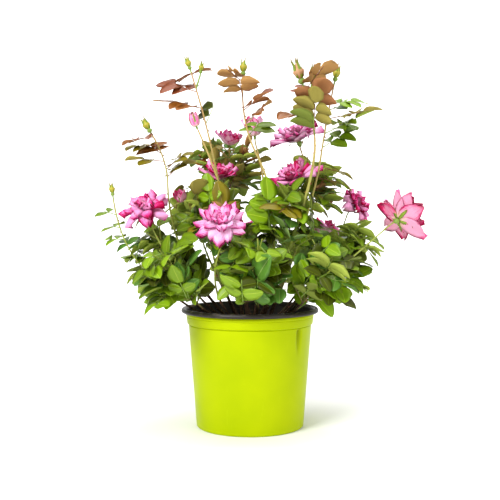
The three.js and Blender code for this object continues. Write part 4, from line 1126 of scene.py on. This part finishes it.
# A petal's colour: pale, strong and deep by a mask, which is edge + streak * 0.9 + tone * spread +
# cloud * 0.5, each about its mean, and cream at the foot.
def petalPaint(name, pale, strong, deep, spread):
    paint = Paint(name, pale, 0.55, 0.12)
    uv = paint.parts(paint.node("ShaderNodeUVMap", dict(uv_map="surface")))
    tone = paint.node("ShaderNodeAttribute", dict(attribute_name="tone"), out=2)
    across, along = abs(uv[0] * 2 - 1), uv[1]
    line = {0: uv[0] * 26 + tone * 90, 1: along * 2.2, 2: tone * 40}
    line = paint.node("ShaderNodeCombineXYZ", None, line)
    streak = paint.noise(line, 1.0, 3.0, 0.6)
    cloud = paint.noise(paint.place(), 90.0, 2.0)
    edge = across ** 3 * 0.55 + along ** 5 * 0.5
    flecks = paint.ramp(streak, 0.56, 0.66)
    mask = edge + (streak - 0.5) * 0.9 + (tone - 0.5) * spread + (cloud - 0.5) * 0.5
    shade = paint.blend(paint.ramp(mask, 0.15, 0.62), colour(pale), colour(strong))
    shade = paint.blend(paint.ramp(mask + flecks * 0.42, 0.54, 0.86), shade, colour(deep))
    shade = paint.blend(paint.ramp(along, 0.22, 0.04) * 0.6, shade, colour("f3e3a8"))
    paint.feed("Base Color", shade)
    paint.feed("Normal", paint.bump(streak, 0.0005))
    return paint


petalTones = dict(  # for a petal's face and its back
    pale=[("f8c4e8", "ee70b8", "b00454", 0.6), ("f8d0e4", "ea78b0", "b80850", 0.6)],
    pink=[("f4a4d4", "e43c96", "b00040", 1.0), ("f8c8dc", "e85c9c", "b80848", 0.8)],
    deep=[("ec78b0", "e0206c", "a40030", 1.0), ("f2a4c4", "e43c80", "b4043c", 0.8)])
petalPaints = {name: [petalPaint(name + "PetalFace", *face), petalPaint(name + "PetalBack", *back)]
               for name, (face, back) in petalTones.items()}
# upper_right takes the pale colours to brighten a bloom that is seen in shade, which is painted light on that
# bloom.
bloomShade = dict(front="pale", middle="pale", upper_right="pale", left_bud="deep", red_bud="deep",
                  far_right="deep")


# One ring of petals: the middle line climbs at an angle that turns from foot to tip, r and z being
# the sums of its cosine and sine. The sides wrap round a cylinder, and ruffle and roll at the edge.
def petalRing(heart, axis, radius, open, ring, index, seed):
    count, lowAngle, highAngle, longShare, wideShare = ring
    a, s, skin = petalGrid["a"], petalGrid["s"], petalGrid["skin"]
    u, v = square(axis)
    n, splay = np.arange(count), open**1.6
    vary = chances(count, seed, -1, 1)
    shut, steps = rose["budAngles"], rose["steps"]
    low = between(shut[0], lowAngle, splay) + vary * between(5, 13, open)
    high = between(shut[1], highAngle, splay) + chances(count, seed + 0.2, -1, 1) * between(8, 24, open)
    low, high = np.radians(low)[:, None], np.radians(high)[:, None]
    longer, wider = between(1.6, 1.0, open), between(2.5, 1.0, open**0.6)
    long = radius * longShare * longer * (1 + 0.12 * chances(count, seed + 0.4, -1, 1))[:, None]
    wide = radius * wideShare * wider * (1 + 0.1 * chances(count, seed + 0.6, -1, 1))[:, None]
    angle = low + (high - low) * np.linspace(0, 1, steps + 1) ** between(0.5, 1.4, splay)
    mean, foot = (angle[:, 1:] + angle[:, :-1]) / 2, np.zeros((count, 1))
    rise = np.concatenate([foot, np.cumsum(np.sin(mean), 1)], 1) / steps
    out = np.concatenate([foot, np.cumsum(np.cos(mean), 1)], 1) / steps
    pick = np.round(a * steps).astype(int)
    rise, out, slope = rise[:, pick] * long, out[:, pick] * long, angle[:, pick]
    profile = (a * 0.94 + 0.06) ** 0.8 * (1 - a) ** between(rose["point"], 0.4, index / 6)
    profile = profile / profile.max()
    half = wide / 2 * profile
    cup = np.maximum(radius * between(rose["cup"] * between(0.42, 1.5, open), 0.3, index / 6), 4.0)
    bend = s * half / cup
    sideways = cup * np.sin(bend)
    inward = cup * (1 - np.cos(bend)) * between(1.0, 0.45, open)
    phase = chances(count, seed + 0.8, 0, 6.28)[:, None]
    wave = np.sin(s * 4.5 + phase) + 0.7 * np.sin(a * 9 + phase * 2)
    ruffle = radius * rose["ruffle"] * a**2 * np.abs(s) * wave
    roll = radius * rose["roll"] * open * a**2 * np.abs(s) ** 2.4 * (1 - 0.12 * index)
    lift = inward + ruffle - roll + skin * rose["thickness"] / 2
    turn = (n * 2 * np.pi / count + seed * 2.1 + 0.3 * vary)[:, None]
    radial = u * np.cos(turn)[..., None] + v * np.sin(turn)[..., None]
    tangent = np.cross(axis, radial)
    start = radius * between(0.27, 0.06, open**0.5) * (1 - index / 8)
    outward = start + out - lift * np.sin(slope)
    height = rise + lift * np.cos(slope) + radius * 0.02 * index
    points = heart + radial * outward[..., None] + axis * height[..., None] + tangent * sideways[..., None]
    return points, chances(count, seed + 0.9)


# A bloom: its rings of petals, and the hip with its stalk and sepals. Petals of a closed bloom are
# a little larger, by full = radius * between(budFull, 1, 3 open).
def makeBloom(bloom, number):
    stalk, radius, open = stalkOf(bloom), bloom["radius"], bloom["open"]
    axis, heart = stalk["axis"], stalk["heart"]
    rings = rose["rings"] if radius > rose["fewRingsUpTo"] else rose["rings"][rose["fewRings"]]
    petals, count = Batch(), 0
    full = radius * between(rose["budFull"], 1, min(1, open * 3))
    for index, ring in enumerate(rings):
        points, tone = petalRing(heart, axis, full, open, ring, index, number * 1.7 + index * 0.61)
        size = len(points)
        slots = np.tile(petalGrid["quadKind"], (size, 1))
        ends = np.tile(petalGrid["triangleKind"], (size, 1))
        addBlades(petals, petalGrid, points, slots, ends, tone)
        count += size
    finishes = petalPaints[bloomShade.get(bloom["name"], "pink")]
    petals.build("petals_" + bloom["name"], finishes, "petal_pink", ["rose_" + bloom["name"]])

    hip, size = Batch(), max(radius, rose["leastHip"])
    t = np.linspace(-0.03, 1, 16)
    addTube(hip, stalk["curve"].at(t), between(stalk["radius"], 1.5, t), 8, 0)
    cup = np.array([[-0.25, 0.045], [-0.2, 0.085], [-0.12, 0.115], [-0.04, 0.105], [0.03, 0.075]]) * size
    addTube(hip, heart + axis * cup[:, :1], cup[:, 1], 10, 1)
    flat = np.array([0.06, 0.3, 0.55, 0.75, 0.9]) * size * 0.75
    shut = np.array([0.06, 0.42, 0.5, 0.48, 0.5]) * size
    radii = between(shut, flat, open)
    shutRise, flatRise = [-0.02, 0.25, 0.75, 1.2, 1.5], [-0.03, -0.06, -0.1, -0.2, -0.36]
    rises = between(np.array(shutRise), np.array(flatRise), open) * size
    addSepals(hip, heart, axis, radii, rises, size * 0.085, 5, number * 0.9, 2)
    finishes = [canePaint, greenStalk, sepalPaint]
    hip.build("hip_" + bloom["name"], finishes, "sepal_green", ["rose_" + bloom["name"]])
    return count


petalCount = sum(makeBloom(bloom, number) for number, bloom in enumerate(blooms))
print("blooms made:", petalCount, "petals")

# Studio: one pale sheet that curves up behind, a large soft key, a fill and a top light.

studio = dict(width=9.0, front=-5.0, back=4.2, wall=4.5, curve=1.6, floor="fbfbfa", world=0.3,
              aim=(0, 0, 0.4), key=(106, 1.4, (-1.7, -2.2, 2.15)), fill=(38, 2.4, (2.4, -1.6, 1.2)),
              top=(60, 1.8, (0.3, 0.2, 2.9)), wallWash=(110, 2.5, (0, 1.6, 1.9)))


def makeSweep():  # straight floor, a quarter circle, and a straight wall, swept along X
    run, curve, columns = studio["back"] - studio["curve"], studio["curve"], 12
    turn = np.linspace(0, np.pi / 2, 20)
    bow = np.stack([run + curve * np.sin(turn), curve * (1 - np.cos(turn))], -1)
    line = np.concatenate([[[studio["front"], 0]], bow, [[studio["back"], studio["wall"]]]])
    across = np.linspace(-studio["width"] / 2, studio["width"] / 2, columns)
    points = np.stack(np.broadcast_arrays(across[None], line[:, :1], line[:, 1:]), -1).reshape(-1, 3)
    index = np.arange(len(points)).reshape(len(line), columns)
    quads = np.stack([index[:-1, :-1], index[:-1, 1:], index[1:, 1:], index[1:, :-1]], -1).reshape(-1, 4)
    mesh = bpy.data.meshes.new("sweep")
    mesh.from_pydata(points.tolist(), [], quads.tolist())
    mesh.polygons.foreach_set("use_smooth", np.ones(len(quads), bool))
    mesh.materials.append(Paint("studioPaper", studio["floor"], 0.9, 0.1).material)
    linked("sweep", mesh)


def addLight(name, power, size, place):  # a square light that looks at the bush
    data = bpy.data.lights.new(name, "AREA")
    data.energy, data.size = power, size
    light = linked(name, data)
    light.location = place
    x, y, z = np.array(place) - np.array(studio["aim"])
    light.rotation_euler = (math.atan2(math.hypot(x, y), z), 0, math.atan2(x, -y))
    return light


makeSweep()
backLight = addLight("wallLight", *studio["wallWash"])
backLight.rotation_euler = (math.radians(90), 0, 0)
addLight("keyLight", *studio["key"])
addLight("fillLight", *studio["fill"])
addLight("topLight", *studio["top"])
world = bpy.data.worlds.new("studio")
bpy.context.scene.world = world
world.use_nodes = True
sky = world.node_tree.nodes["Background"].inputs
sky["Color"].default_value = (1, 1, 1, 1)
sky["Strength"].default_value = studio["world"]
